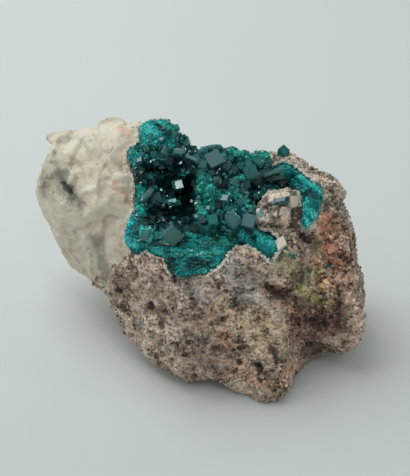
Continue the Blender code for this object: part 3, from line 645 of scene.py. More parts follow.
# angular pieces of calcite on the knob and around it: u, v, half size, tilt to the right and up, spin (degrees), lift
knobBlocks = (
    (14.6, 4.9, 2.2, -18, 22, 14, 0.5), (16.8, 9.6, 1.9, 4, 46, 8, 0.5), (19.2, 10.6, 1.2, 18, 40, 24, 0.5),
    (18.8, 6.0, 1.2, 24, 14, -15, 0.7), (21.8, 8.4, 1.4, 34, 12, 5, 0.6), (22.0, 5.2, 1.3, 28, 4, 28, 0.5),
    (18.7, 3.0, 1.1, 8, -22, 32, 0.7), (21.4, 2.0, 1.5, 14, 18, 48, 0.6), (16.2, 2.9, 1.3, -8, -25, 22, 0.4),
    (13.7, 8.0, 1.0, -34, 18, 40, 0.4), (20.2, -0.3, 1.2, 0, -8, 12, 0.4), (18.0, -1.4, 1.1, -6, 16, 35, 0.4),
    (15.0, 10.8, 0.8, -10, 40, 50, 0.4), (22.9, 10.2, 0.9, 30, 30, 15, 0.4), (16.6, 6.9, 0.9, -5, 30, 60, 0.7),
    (14.6, -8.6, 1.0, -10, 12, 20, 0.3), (16.4, -9.6, 0.9, 12, -8, 45, 0.3), (12.2, -5.6, 0.9, -14, 20, 30, 0.3),
    (13.6, -7.0, 0.8, 16, 10, 55, 0.3), (18.2, -9.2, 0.8, 6, 26, 10, 0.3), (28.2, -10.4, 1.4, 8, 14, 30, 0.5),
    (29.8, -11.8, 1.1, 20, -6, 55, 0.4), (22.6, -6.4, 0.9, -12, 18, 25, 0.3), (20.2, -7.4, 0.8, 14, 6, 50, 0.3),
    (33.4, -2.0, 1.0, 24, 10, 15, 0.3), (21.2, -5.2, 0.7, -4, -16, 35, 0.3), (33.0, -11.4, 1.0, 18, 8, 40, 0.3),
    (25.6, 3.0, 1.0, 16, 22, 30, 0.4),
    (26.8, 1.8, 0.9, 24, 6, 10, 0.4), (20.0, -1.6, 0.8, 6, 20, 60, 0.4), (30.6, -2.4, 0.8, 20, 10, 20, 0.3),
)
crumbs = {"count": 620, "size": (0.20, 0.50), "facing": 0.35}
# how many of the crumbs lie on each kind of rock
crumbly = (("beige", 1.0), ("olive", 0.9), ("rust", 0.6), ("pink", 0.5), ("purple", 0.4), ("peach", 1.0))


def blockCentre(row):
    # where an angular piece sits, and how it is turned
    u, v, half, right, up, spin, lift = row
    place = onRock(u, v)
    toEye = (eye - place).normalized()
    view = Matrix((Vector((1, 0, 0)), upward, -forward)).transposed().to_quaternion()
    turn = view @ Euler((math.radians(-up), math.radians(right), 0.0)).to_quaternion()
    turn = turn @ Quaternion((0, 0, 1), math.radians(spin))
    return place + toEye * lift * mm - turn @ Vector((0, 0, half * 0.75 * mm)), turn, half


def buildGrains(rock, marks, near):
    # loose-looking chips that stand proud of the granular rock, and pale ones along the lip of the hollow
    points, normals = meshArrays(rock.data)
    rng = np.random.default_rng(grains["seed"])
    work = bmesh.new()
    bmesh.ops.create_cube(work, size=2.0)
    shear = Matrix(((1.0, 0.28, 0.22), (0.0, 0.95, 0.25), (0.0, 0.0, 0.75)))
    bmesh.ops.transform(work, matrix=shear.to_4x4(), verts=work.verts[:])
    bmesh.ops.triangulate(work, faces=work.faces[:])
    work.verts.index_update()
    corners = np.array([vert.co[:] for vert in work.verts])
    faces = np.array([[vert.index for vert in face.verts] for face in work.faces])
    work.free()

    bare = (points[:, 2] > 0.6) & (near > 1.2)
    weight = bare * (1.0 - 0.97 * marks["cream"]) * (1.0 - 0.6 * marks["grey"])
    picks = rng.choice(len(points), grains["count"], replace=False, p=weight / weight.sum())
    innermost, outermost = grains["rimReach"]
    rimNear = np.flatnonzero((near > innermost) & (near < outermost) & (points[:, 2] > 1))
    rimNear = rimNear[~facesCrust(points[rimNear], normals[rimNear], 2.5)]
    rimPicks = rng.choice(rimNear, min(grains["rimCount"], len(rimNear)), replace=False)
    rugged = sum(marks[name] * share for name, share in crumbly)
    inside = np.abs(facingShare(points, normals)) > crumbs["facing"]
    weight = bare * rugged * (1.0 - marks["cream"]) * (near > 1.6) * inside
    crumbPicks = rng.choice(len(points), crumbs["count"], replace=False, p=weight / weight.sum())
    kinds = ((picks, grains["size"]), (rimPicks, grains["rimSize"]), (crumbPicks, crumbs["size"]))
    chosen = np.concatenate([which for which, _ in kinds])
    low = np.concatenate([np.full(len(which), size[0]) for which, size in kinds])
    high = np.concatenate([np.full(len(which), size[1]) for which, size in kinds])
    radius = low + (high - low) * rng.random(len(chosen)) ** grains["skew"]
    turns = np.array([Quaternion(rng.normal(size=4)).normalized().to_matrix() for _ in chosen])
    places = points[chosen] + normals[chosen] * (radius * grains["sunk"])[:, None]
    blocks = [blockCentre(row) for row in knobBlocks]
    lookup = KDTree(len(points))
    for index, point in enumerate(points):
        lookup.insert(point, index)
    lookup.balance()
    fronts = [centre + (eye - centre).normalized() * half * mm for centre, _, half in blocks]
    nearest = [lookup.find(front / mm)[1] for front in fronts]
    chosen = np.concatenate([chosen, nearest])
    radius = np.concatenate([radius, [half for _, _, half in blocks]])
    turns = np.concatenate([turns, [np.array(turn.to_matrix()) for _, turn, _ in blocks]])
    places = np.concatenate([places, [np.array(centre) / mm for centre, _, _ in blocks]])
    spread = np.einsum("nij,kj->nki", turns, corners) * radius[:, None, None]
    cornersAll = (spread + places[:, None, :]).reshape(-1, 3)
    cornersAll[:, 2] = np.maximum(cornersAll[:, 2], 0.0)
    facesAll = (faces[None] + (np.arange(len(chosen)) * len(corners))[:, None, None]).reshape(-1, 3)
    mesh = bpy.data.meshes.new("rockGrains")
    mesh.from_pydata(cornersAll * mm, [], facesAll.tolist())
    shade = rng.normal(size=len(chosen)) * grains["shade"][0] + grains["shade"][1]
    hue = rng.random(len(chosen))
    own = rng.random(len(chosen)) ** 0.7
    for name, values in marks.items():
        value = values[chosen] * (own if name in ("olive", "lime", "rust", "peach") else 1.0)
        value = {"shade": shade, "hue": hue}.get(name, value)
        paint(mesh, name, np.repeat(value, len(corners)))
    mesh.update()
    mesh.materials.append(rock.data.materials[0])
    print("grains:", len(chosen))
    return placed("rockGrains", mesh)


def rockMaterial():
    sheet = Sheet("rockFinish")
    place = sheet.place()
    tone = rockTones
    broad = sheet.noise(place, 5.0, 4.0)
    middle = sheet.noise(place, 1.5, 4.0, 0.65)
    fine = sheet.noise(place, 0.45, 3.0, 0.7)
    grain = sheet.add("ShaderNodeSeparateColor", {}, {0: sheet.cells(place, 0.55, out="Color")})
    streak = sheet.noise(sheet.moved(place, (0.55, 1.4, 1.6), turn=(0.2, 0.6, -0.5)), 1.2, 3.0, 0.6)

    # granular brown rock: grains from dark to pale
    spread = grain * 0.38 + middle * 1.3 + fine * 0.95 + streak * 1.15 + broad * 1.6 - 2.22 + sheet.mark("shade")
    spread = spread.clamped()
    brown = sheet.add("ShaderNodeValToRGB", {"stops": [
        (0.06, tone["groundDark"]), (0.94, tone["groundPale"]), (0.46, tone["ground"]),
    ]}, {0: spread})
    warmth = sheet.noise(sheet.moved(place, (1, 1, 1), (0.3, 0.1, 0.2)), 2.4, 5.0, 0.75)
    coolness = sheet.noise(sheet.moved(place, (1, 1, 1), (0.7, 0.5, 0.1)), 3.0, 5.0, 0.75)
    brown = sheet.blend(brown, sheet.tinted(tone["warm"], 0.25 + spread * 1.5), warmth.between(0.53, 0.66) * 0.75)
    brown = sheet.blend(brown, sheet.tinted(tone["cool"], 0.25 + spread * 1.5), coolness.between(0.53, 0.68) * 0.7)

    # patches of tone on the sides and the back
    patches = sheet.noise(sheet.moved(place, (1, 1, 1), (0.9, 0.2, 0.6)), 10.0, 5.0, 0.6)
    rusting = sheet.noise(sheet.moved(place, (1, 1, 1), (0.4, 0.8, 0.3)), 8.0, 5.0, 0.65)
    for name, share in (
        ("umber", patches.between(0.50, 0.60)), ("beige", (1 - patches).between(0.52, 0.62)),
        ("rust", rusting.between(0.56, 0.68) * 0.7), ("grey", (1 - rusting).between(0.56, 0.66)),
    ):
        shade = sheet.tinted(tone[name], 0.10 + spread * 1.8)
        brown = sheet.blend(brown, shade, share * sheet.mark("behind") * 0.8)

    wander = (middle - 0.5) * 0.7 + (fine - 0.5) * 0.5 + (grain - 0.5) * 0.25

    def zone(name, sharp=0.25):
        return (sheet.mark(name) + wander).between(0.5 - sharp, 0.5 + sharp)

    colour = brown
    for name in ("umber", "slate", "blush", "beige", "tan", "grey", "pink", "olive", "rust", "purple", "peach", "lime"):
        shade = sheet.tinted(tone[name], 0.10 + spread * 1.8)
        colour = sheet.blend(colour, shade, zone(name, 0.35) * 0.85)
    pale = sheet.mark("hue").between(0.86, 0.93) * 0.65
    colour = sheet.blend(colour, sheet.tinted(tone["chalk"], 0.45 + spread * 0.8), pale)
    ruddy = (1 - sheet.mark("hue")).between(0.84, 0.92) * 0.6
    colour = sheet.blend(colour, sheet.tinted(tone["warm"], 0.2 + spread * 1.5), ruddy)

    # cleaved calcite: cream, cloudy, with bright and shaded bands, painted highlights where its plateau and ridge catch
    # the light, and painted shade on its middle
    bandPlace = sheet.moved(place, (0.35, 0.9, 2.2), turn=(0.3, 0.5, 0.2))
    bands = sheet.noise(bandPlace, 3.0, 5.0, 0.62)
    creamShade = sheet.add("ShaderNodeValToRGB", {"stops": [
        (0.30, tone["creamShade"]), (0.70, tone["creamBright"]), (0.50, tone["cream"]),
    ]}, {0: bands * 0.6 + broad * 0.25 + fine * 0.15 + sheet.mark("shade") * 0.3})
    creamShade = sheet.blend(creamShade, tone["creamPaintedGleam"], zone("gleam", 0.3) * 0.8)
    creamShade = sheet.blend(creamShade, tone["creamCloudAndShade"], zone("cloudy", 0.4) * 0.75)
    creamShade = sheet.blend(creamShade, tone["rust"], zone("rust") * 0.5)
    creamShade = sheet.blend(creamShade, tone["pink"], zone("pink") * 0.6)
    colour = sheet.blend(colour, creamShade, (sheet.mark("cream") + wander * 0.5).between(0.35, 0.65))
    # grey-black stain on the calcite's left end, and painted shade on its lower face
    colour = sheet.blend(colour, tone["smudge"], zone("smudge", 0.35) * 0.75)

    # pale lip round the hollow, then the black stains, with painted shade where they fill carved gaps, and painted
    # shade in the pits
    lip = (sheet.mark("rim") + wander * 0.3).between(0.38, 0.56) * 0.95
    colour = sheet.blend(colour, sheet.tinted(tone["lip"], 0.8 + spread * 0.4), lip)
    colour = sheet.blend(colour, tone["stain"], zone("stain", 0.18) * 0.92)
    specks = sheet.cells(place, 0.9).between(0.22, 0.08) * grain.between(0.62, 0.7)
    specks = specks * (1 - sheet.mark("cream") * 0.9)
    colour = sheet.blend(colour, tone["groundDark"], specks * 0.35)
    # painted shade: dark ground colour in the pits and the deepest carved hollows
    colour = sheet.blend(colour, tone["groundDark"], sheet.mark("hollow") * (1 - lip) * 0.7)

    rough = 0.62 + fine * 0.3 - grain.between(0.9, 0.97) * 0.4
    height = fine * 0.6 + middle * 0.35 + grain * 0.35 * (1 - sheet.mark("cream") * 0.8)
    return sheet.finish({"Base Color": colour, "Roughness": rough, "IOR": 1.5}, bump=(height, 0.22))


# Dioptase

# tints of the crystals, partly their own shades and partly painted light and shade: night is the painted shade of the
# pit, gleam the brightest
gem = {
    "night": (0.001, 0.030, 0.036),
    "dusk": (0.004, 0.190, 0.190),
    "day": (0.014, 0.60, 0.52),
    "gleam": (0.12, 1.0, 0.80),
    # grey teal mixed in by the veil mark: partly milky crystal, partly painted reflection of the pale room on the
    # facets
    "veil": (0.26, 0.54, 0.55),
    "index": 1.66,
    "depthColour": (0.02, 0.78, 0.79),
    "depthDensity": 700.0,
}
# how clear each kind of crystal is, its roughness, the painted light added to its tint and its gloss
gemKinds = {
    "leadGem": (0.6, 0.05, 0.0, 0.5),
    "shelfGem": (0.5, 0.07, 0.0, 0.5),
    "ridgeGem": (0.6, 0.1, 0.42, 0.5),
    "middlingGem": (0.6, 0.06, 0.06, 0.3),
    "smallGem": (0.45, 0.08, 0.03, 0.3),
}
endSlope = math.radians(51.0)  # between the crystal's axis and its end faces
endFace = Vector((0.0, math.sin(endSlope), math.cos(endSlope)))
sideFace = Vector((0.0, 1.0, 0.0))


def gemTint(sheet, glow):
    # from the painted shade of the pit, near black, to bright emerald with painted light
    stops = [(0.0, gem["night"]), (1.0, gem["gleam"]), (0.34, gem["dusk"]), (0.66, gem["day"])]
    return sheet.add("ShaderNodeValToRGB", {"stops": stops}, {0: glow.clamped()})


def gemMaterial(name):
    # clear emerald crystal that darkens with depth, a little veiled inside; the veil also paints grey reflection on its
    # facets
    clear, roughness, glow, gloss = gemKinds[name]
    sheet = Sheet(name)
    place = sheet.place()
    cloud = sheet.noise(place, 1.3, 3.0, 0.6)
    tint = gemTint(sheet, sheet.mark("glow") + (cloud - 0.5) * 0.45 + glow)
    mist = sheet.noise(place, 3.0, 1.0)
    tint = sheet.blend(tint, gem["veil"], sheet.mark("veil") * (0.4 + mist * 0.8))
    ripple = sheet.noise(sheet.moved(place, (1.0, 1.0, 2.2)), 0.8, 2.0)
    inputs = {"Base Color": tint, "Roughness": roughness, "IOR": gem["index"]}
    inputs |= {"Transmission Weight": clear, "Specular IOR Level": gloss}
    volume = {"Color": (*gem["depthColour"], 1.0), "Density": gem["depthDensity"]}
    return sheet.finish(inputs, bump=(ripple, 0.009), volume=volume)


druse = {
    "dark": (0.002, 0.085, 0.095),
    "middle": (0.006, 0.325, 0.355),
    "bright": (0.022, 0.76, 0.78),
    "palest": (0.30, 0.98, 0.94),
}


def druseMaterial():
    # fine crystals too small to see through: turquoise to green, each grain its own shade, darker with painted shade in
    # the druse's gaps
    sheet = Sheet("turquoiseFinish")
    place = sheet.place()
    cloud = sheet.noise(place, 0.9, 3.0, 0.6)
    stops = [(0.0, druse["dark"]), (1.0, druse["palest"]), (0.40, druse["middle"]), (0.78, druse["bright"])]
    glow = (sheet.mark("glow") + (cloud - 0.5) * 0.5).clamped()
    tint = sheet.add("ShaderNodeValToRGB", {"stops": stops}, {0: glow})
    inputs = {"Base Color": tint, "Roughness": 0.3, "IOR": gem["index"], "Specular IOR Level": 0.3}
    return sheet.finish(inputs, bump=(sheet.noise(place, 0.2, 1.0), 0.01))


def bedMaterial():
    # the felt of tiny crystals between the larger ones, given painted shade that makes it near black deep in the hollow
    # and a little darker everywhere
    sheet = Sheet("bedFinish")
    place = sheet.place()
    fine = sheet.noise(place, 0.5, 3.0, 0.7)
    grain = sheet.add("ShaderNodeSeparateColor", {}, {0: sheet.cells(place, 0.4, out="Color")})
    tint = gemTint(sheet, sheet.mark("glow") + (fine - 0.5) * 0.5 + (grain - 0.5) * 0.25 - 0.06)
    height = fine + grain * 0.5
    inputs = {"Base Color": tint, "Roughness": 0.32, "IOR": gem["index"], "Specular IOR Level": 0.25}
    return sheet.finish(inputs, bump=(height, 0.12))


def unitCrystal(aspect, bevelled=False):
    # one crystal of radius 1: a six-sided prism with three sloping faces at each end
    body = bmesh.new()
    bmesh.ops.create_cone(body, cap_ends=True, segments=6, radius1=1.0, radius2=1.0, depth=2 * aspect)
    for end in (1, -1):
        for turn in range(3):
            angle = math.radians(90.0 * end + 120.0 * turn)
            slope = Vector((math.cos(angle), math.sin(angle), 0.0)) * math.sin(endSlope)
            slope.z = end * math.cos(endSlope)
            cut = bmesh.ops.bisect_plane(
                body, geom=body.verts[:] + body.edges[:] + body.faces[:], dist=1e-4,
                plane_co=(0, 0, end * aspect), plane_no=slope, clear_outer=True)
            edges = [item for item in cut["geom_cut"] if isinstance(item, bmesh.types.BMEdge)]
            bmesh.ops.edgeloop_fill(body, edges=edges)
    bmesh.ops.remove_doubles(body, verts=body.verts[:], dist=1e-3)
    if bevelled:
        bmesh.ops.dissolve_limit(body, angle_limit=0.02, verts=body.verts[:], edges=body.edges[:])
        bmesh.ops.bevel(
            body, geom=body.edges[:], offset=0.035, affect="EDGES", segments=1, profile=0.5, material=-1)
    bmesh.ops.triangulate(body, faces=body.faces[:])
    bmesh.ops.recalc_face_normals(body, faces=body.faces[:])
    body.verts.index_update()
    corners = np.array([vert.co[:] for vert in body.verts])
    faces = np.array([[vert.index for vert in face.verts] for face in body.faces])
    body.free()
    return corners, faces


def joinedCopies(name, shapes, copies):
    # one mesh of many small closed bodies: each copy is (shape index, place, turn, size, tint with painted light, veil
    # with painted reflection)
    cornerParts = []
    faceParts = []
    glow = []
    veil = []
    start = 0
    for index, place, turn, size, bright, pale in copies:
        corners, faces = shapes[index]
        cornerParts.append(corners * size @ np.array(turn.to_matrix()).T + np.array(place))
        faceParts.append(faces + start)
        glow += [bright] * len(corners)
        veil += [pale] * len(corners)
        start += len(corners)
    mesh = bpy.data.meshes.new(name)
    mesh.from_pydata(np.concatenate(cornerParts), [], np.concatenate(faceParts).tolist())
    paint(mesh, "glow", glow)
    paint(mesh, "veil", veil)
    mesh.update()
    print(name + ":", len(copies), "crystals,", sum(len(part) for part in faceParts), "triangles")
    return placed(name, mesh)


# turquoise zones of fine crystals on the hollow's rim: strokes of u, v, u, v, radius
druseStrokes = (
    (-15.0, 26.4, -10.6, 23.4, 2.8), (-18.4, 20.6, -16.4, 19.0, 1.6), (-18.6, 4.0, -17.4, -2.0, 2.4),
    (-17.0, -2.0, -9.6, -3.6, 2.2), (-9.0, -2.0, 5.0, -1.6, 2.6), (-8.0, -6.0, 1.2, -6.6, 3.0),
    (10.6, 1.0, 17.0, -4.0, 2.4), (14.4, 16.4, 20.6, 17.4, 1.4), (20.4, 16.6, 27.4, 10.8, 2.7),
    (25.8, 9.2, 25.0, 2.4, 2.9),
)
# bright patches of the druse and its dark ones, partly painted shade in its gaps and cavities: strokes of u, v, u, v,
# radius
druseBright = (
    (-15.0, 26.4, -12.4, 25.4, 1.6), (-18.4, -0.6, -17.4, -1.4, 1.3), (-12.4, -2.6, -10.6, -3.6, 1.1),
    (-5.0, -1.4, -2.4, -2.2, 1.3), (2.6, -2.6, 4.6, -5.0, 1.2), (4.6, -0.8, 8.4, 0.4, 0.9),
    (-18.0, 4.0, -17.6, 3.2, 1.0),
    (-0.6, -4.0, 2.0, -3.0, 0.9), (22.8, 14.6, 28.2, 11.4, 1.3), (24.0, 7.6, 26.6, 5.0, 1.4),
    (24.4, 3.4, 24.2, 2.2, 1.0),
    (12.4, 0.8, 13.6, -0.6, 1.1), (15.4, -1.0, 16.8, -2.6, 1.1), (19.0, 18.2, 20.0, 17.6, 0.9),
)
druseDarkAndShade = (
    (-10.6, 27.6, -8.8, 24.6, 1.0), (-17.0, 2.6, -15.6, 1.4, 1.2), (-17.8, -3.2, -15.6, -4.4, 1.0),
    (-8.6, -3.4, -8.0, -7.4, 1.2), (-4.4, -6.8, 1.0, -6.4, 1.1), (-8.0, -0.6, -4.0, -0.4, 0.8),
    (-3.4, -5.2, 1.8, -5.4, 0.7),
    (23.8, 10.6, 26.8, 9.8, 1.2), (15.4, -4.0, 15.8, -5.6, 1.1), (11.4, 0.4, 12.0, -0.8, 0.8),
    (21.0, 14.8, 22.2, 13.8, 0.9),
    (-11.6, -0.6, -9.4, -1.8, 0.9), (14.4, 15.4, 17.6, 15.0, 0.9),
)
# bright growths among the green crystals, and painted shade where the pit falls away into the dark
brightStrokes = (
    (-0.6, 12.4, 2.2, 9.8, 2.4), (-2.2, 8.6, -0.8, 6.6, 1.5), (-15.2, 11.4, -15.8, 6.6, 1.3),
    (-12.8, 15.0, -12.0, 14.4, 1.2),
    (-17.8, 20.6, -17.2, 20.2, 1.5), (-1.6, 16.6, 0.6, 15.2, 1.4), (-6.8, 8.4, -6.6, 7.6, 1.0),
    (8.1, 15.4, 8.2, 14.4, 0.8),
    (10.4, 18.8, 15.6, 19.2, 1.5), (6.4, 20.6, 8.0, 20.4, 1.0), (-10.4, 26.6, -8.6, 25.6, 1.8),
    (4.4, 7.2, 6.0, 6.8, 1.0),
    (-16.4, 2.0, -11.6, 0.4, 1.7), (6.6, 10.6, 9.2, 8.6, 1.4), (9.0, 9.2, 10.8, 7.4, 1.2), (12.4, 6.4, 13.0, 5.4, 0.8),
    (-13.6, 23.0, -8.4, 22.4, 1.7),
)
pitShadeStrokes = (
    (-3.5, 14.4, -3.5, 3.4, 2.0), (-12.6, 6.3, -5.0, 6.3, 1.8), (-14.6, 16.6, -9.6, 16.6, 1.4),
    (-8.0, 18.4, -3.0, 17.2, 1.6),
    (-9.4, 13.2, -7.6, 14.8, 1.6), (-15.2, 14.0, -14.8, 17.0, 1.3), (-5.4, 8.0, -5.2, 12.0, 1.7),
    (2.2, 17.4, 4.6, 16.4, 1.1),
    (11.0, 11.2, 13.0, 12.8, 1.7), (16.6, 14.0, 20.2, 13.2, 1.7), (-13.0, 4.4, -4.8, 4.2, 1.6),
    (-10.8, 3.2, -4.4, 2.8, 1.2), (12.6, 8.0, 11.0, 9.6, 1.2), (9.2, 2.2, 12.0, 0.4, 1.0),
    (-1.2, 1.0, 1.4, 0.2, 0.9), (2.6, 14.6, 4.6, 12.4, 1.0), (-4.4, 2.4, -1.6, 2.4, 1.0),
    (-13.8, 12.8, -10.4, 13.0, 0.8),
)
# how far the lining steps back from the visitor: strokes of u, v, u, v, radius, then millimetres
depthStrokes = (
    (-3.6, 13.4, -3.6, 5.0, 2.5, 4.2), (-12.0, 6.4, -6.0, 6.4, 2.3, 3.0), (-13.0, 16.4, -6.0, 17.0, 1.9, 2.0),
    (-8.6, 13.6, -7.0, 11.0, 2.2, 1.6), (17.0, 13.9, 21.0, 13.5, 2.0, 2.2), (11.6, 11.8, 12.2, 8.4, 1.6, 1.6),
    (0.2, 12.0, 1.4, 10.0, 2.8, -1.3), (9.6, 1.4, 11.6, 0.6, 1.2, 1.2), (-12.6, 4.4, -5.0, 4.4, 1.5, 1.6),
)


def strokeShare(u, v, strokes):
    # how deep u, v lies in any of a set of flat strokes, 0 outside
    best = 0.0
    for u1, v1, u2, v2, radius in strokes:
        along = Vector((u2 - u1, v2 - v1))
        offset = Vector((u - u1, v - v1))
        share = max(0.0, min(1.0, offset.dot(along) / max(along.length_squared, 1e-6)))
        best = max(best, 1.0 - (along * share - offset).length / radius)
    return best


def onDruse(u, v):
    return strokeShare(u, v, druseStrokes) > 0.0


def touch(u, v, strokes, steep):
    # 0 outside the strokes, rising to 1 inside them
    return min(1.0, strokeShare(u, v, strokes) * steep)


# how far u, v lies in the painted shade of the pit, where fewer crystals grow too
def pitShadeTouch(u, v):
    return touch(u, v, pitShadeStrokes, 3.0)


# levels of the painted light and shade in the tints of the druse and the growth
toneAndLightForm = {
    "wander": 0.6,  # how ragged the edges of the strokes are, in millimetres
    "druse": {"middle": 0.46, "bright": 0.30, "dark": 0.34, "mottle": 0.14},
    "growth": {"middle": 0.31, "bright": 0.46, "mottle": 0.12},
}


def toneAndLightAt(u, v):
    # how bright the growth's tint is at u, v, from 0 in the painted shade of the pit to 1, partly its own shades and
    # partly painted light
    spot = Vector((u, v, 0.0)) / 1.4
    u += toneAndLightForm["wander"] * noise.noise(spot)
    v += toneAndLightForm["wander"] * noise.noise(spot + Vector((9.0, 4.0, 2.0)))
    if onDruse(u, v):
        form = toneAndLightForm["druse"]
        bright = touch(u, v, druseBright, 2.0)
        dark = touch(u, v, druseDarkAndShade, 2.0)
        mottle = form["mottle"] * noise.noise(spot * 0.8)
        return form["middle"] + form["bright"] * bright - form["dark"] * dark + mottle
    form = toneAndLightForm["growth"]
    bright = touch(u, v, brightStrokes, 2.5)
    mottle = form["mottle"] * noise.noise(spot * 0.7)
    return (form["middle"] + form["bright"] * bright + mottle) * (1.0 - pitShadeTouch(u, v))


def stepBack(points, which=None):
    # pushes points of the lining away from the visitor where the hollow is deep
    moved = points.copy()
    origin = np.array(eye) / mm
    for index, point in enumerate(points):
        if which is not None and not which[index]:
            continue
        u, v, _ = asSeen(Vector(point) * mm)
        reach = 0.0
        for *stroke, depth in depthStrokes:
            share = strokeShare(u, v, (stroke,))
            if share > 0:
                reach += depth * share * share * (3 - 2 * share)
        if reach:
            away = point - origin
            moved[index] += away / np.linalg.norm(away) * reach
    return moved


bedForm = {"voxel": 0.5 * mm, "easing": 10, "swell": 0.3}


def buildBed():
    bed = evenSkin("dioptase_crust", "crystalBed", bedForm)
    bed.data.update()
    points, normals = meshArrays(bed.data)
    points = stepBack(points + normals * bedForm["swell"])
    bed.data.vertices.foreach_set("co", (points * mm).ravel())
    bed.data.update()
    paint(bed.data, "glow", [toneAndLightAt(*asSeen(Vector(point) * mm)[:2]) for point in points])
    bed.data.shade_smooth()
    bed.data.materials.append(bedMaterial())
    print("bed:", len(bed.data.polygons), "faces")
    return bed, treeOf(bed.data)


def bedSpots(bed, count, rng):
    # random places on the open side of the bed, with their outward normals
    bed.data.calc_loop_triangles()
    triangles = np.empty(len(bed.data.loop_triangles) * 3, dtype=np.int32)
    bed.data.loop_triangles.foreach_get("vertices", triangles)
    places, normals = meshArrays(bed.data)
    corners = places[triangles.reshape(-1, 3)]
    cross = np.cross(corners[:, 1] - corners[:, 0], corners[:, 2] - corners[:, 0])
    area = np.linalg.norm(cross, axis=1)
    centres = corners.mean(axis=1)
    facing = cross / np.maximum(area, 1e-9)[:, None]
    blocked = np.array([
        rockTree.ray_cast(Vector(centre) * mm, Vector(way), 2.2 * mm)[0] is not None
        for centre, way in zip(centres, facing)])
    weight = area * ~blocked
    picks = rng.choice(len(area), count, p=weight / weight.sum())
    a, b = rng.random((2, count))
    flip = a + b > 1
    a, b = np.where(flip, 1 - a, a), np.where(flip, 1 - b, b)
    chosen = corners[picks]
    spots = chosen[:, 0] + (chosen[:, 1] - chosen[:, 0]) * a[:, None] + (chosen[:, 2] - chosen[:, 0]) * b[:, None]
    return spots, facing[picks]
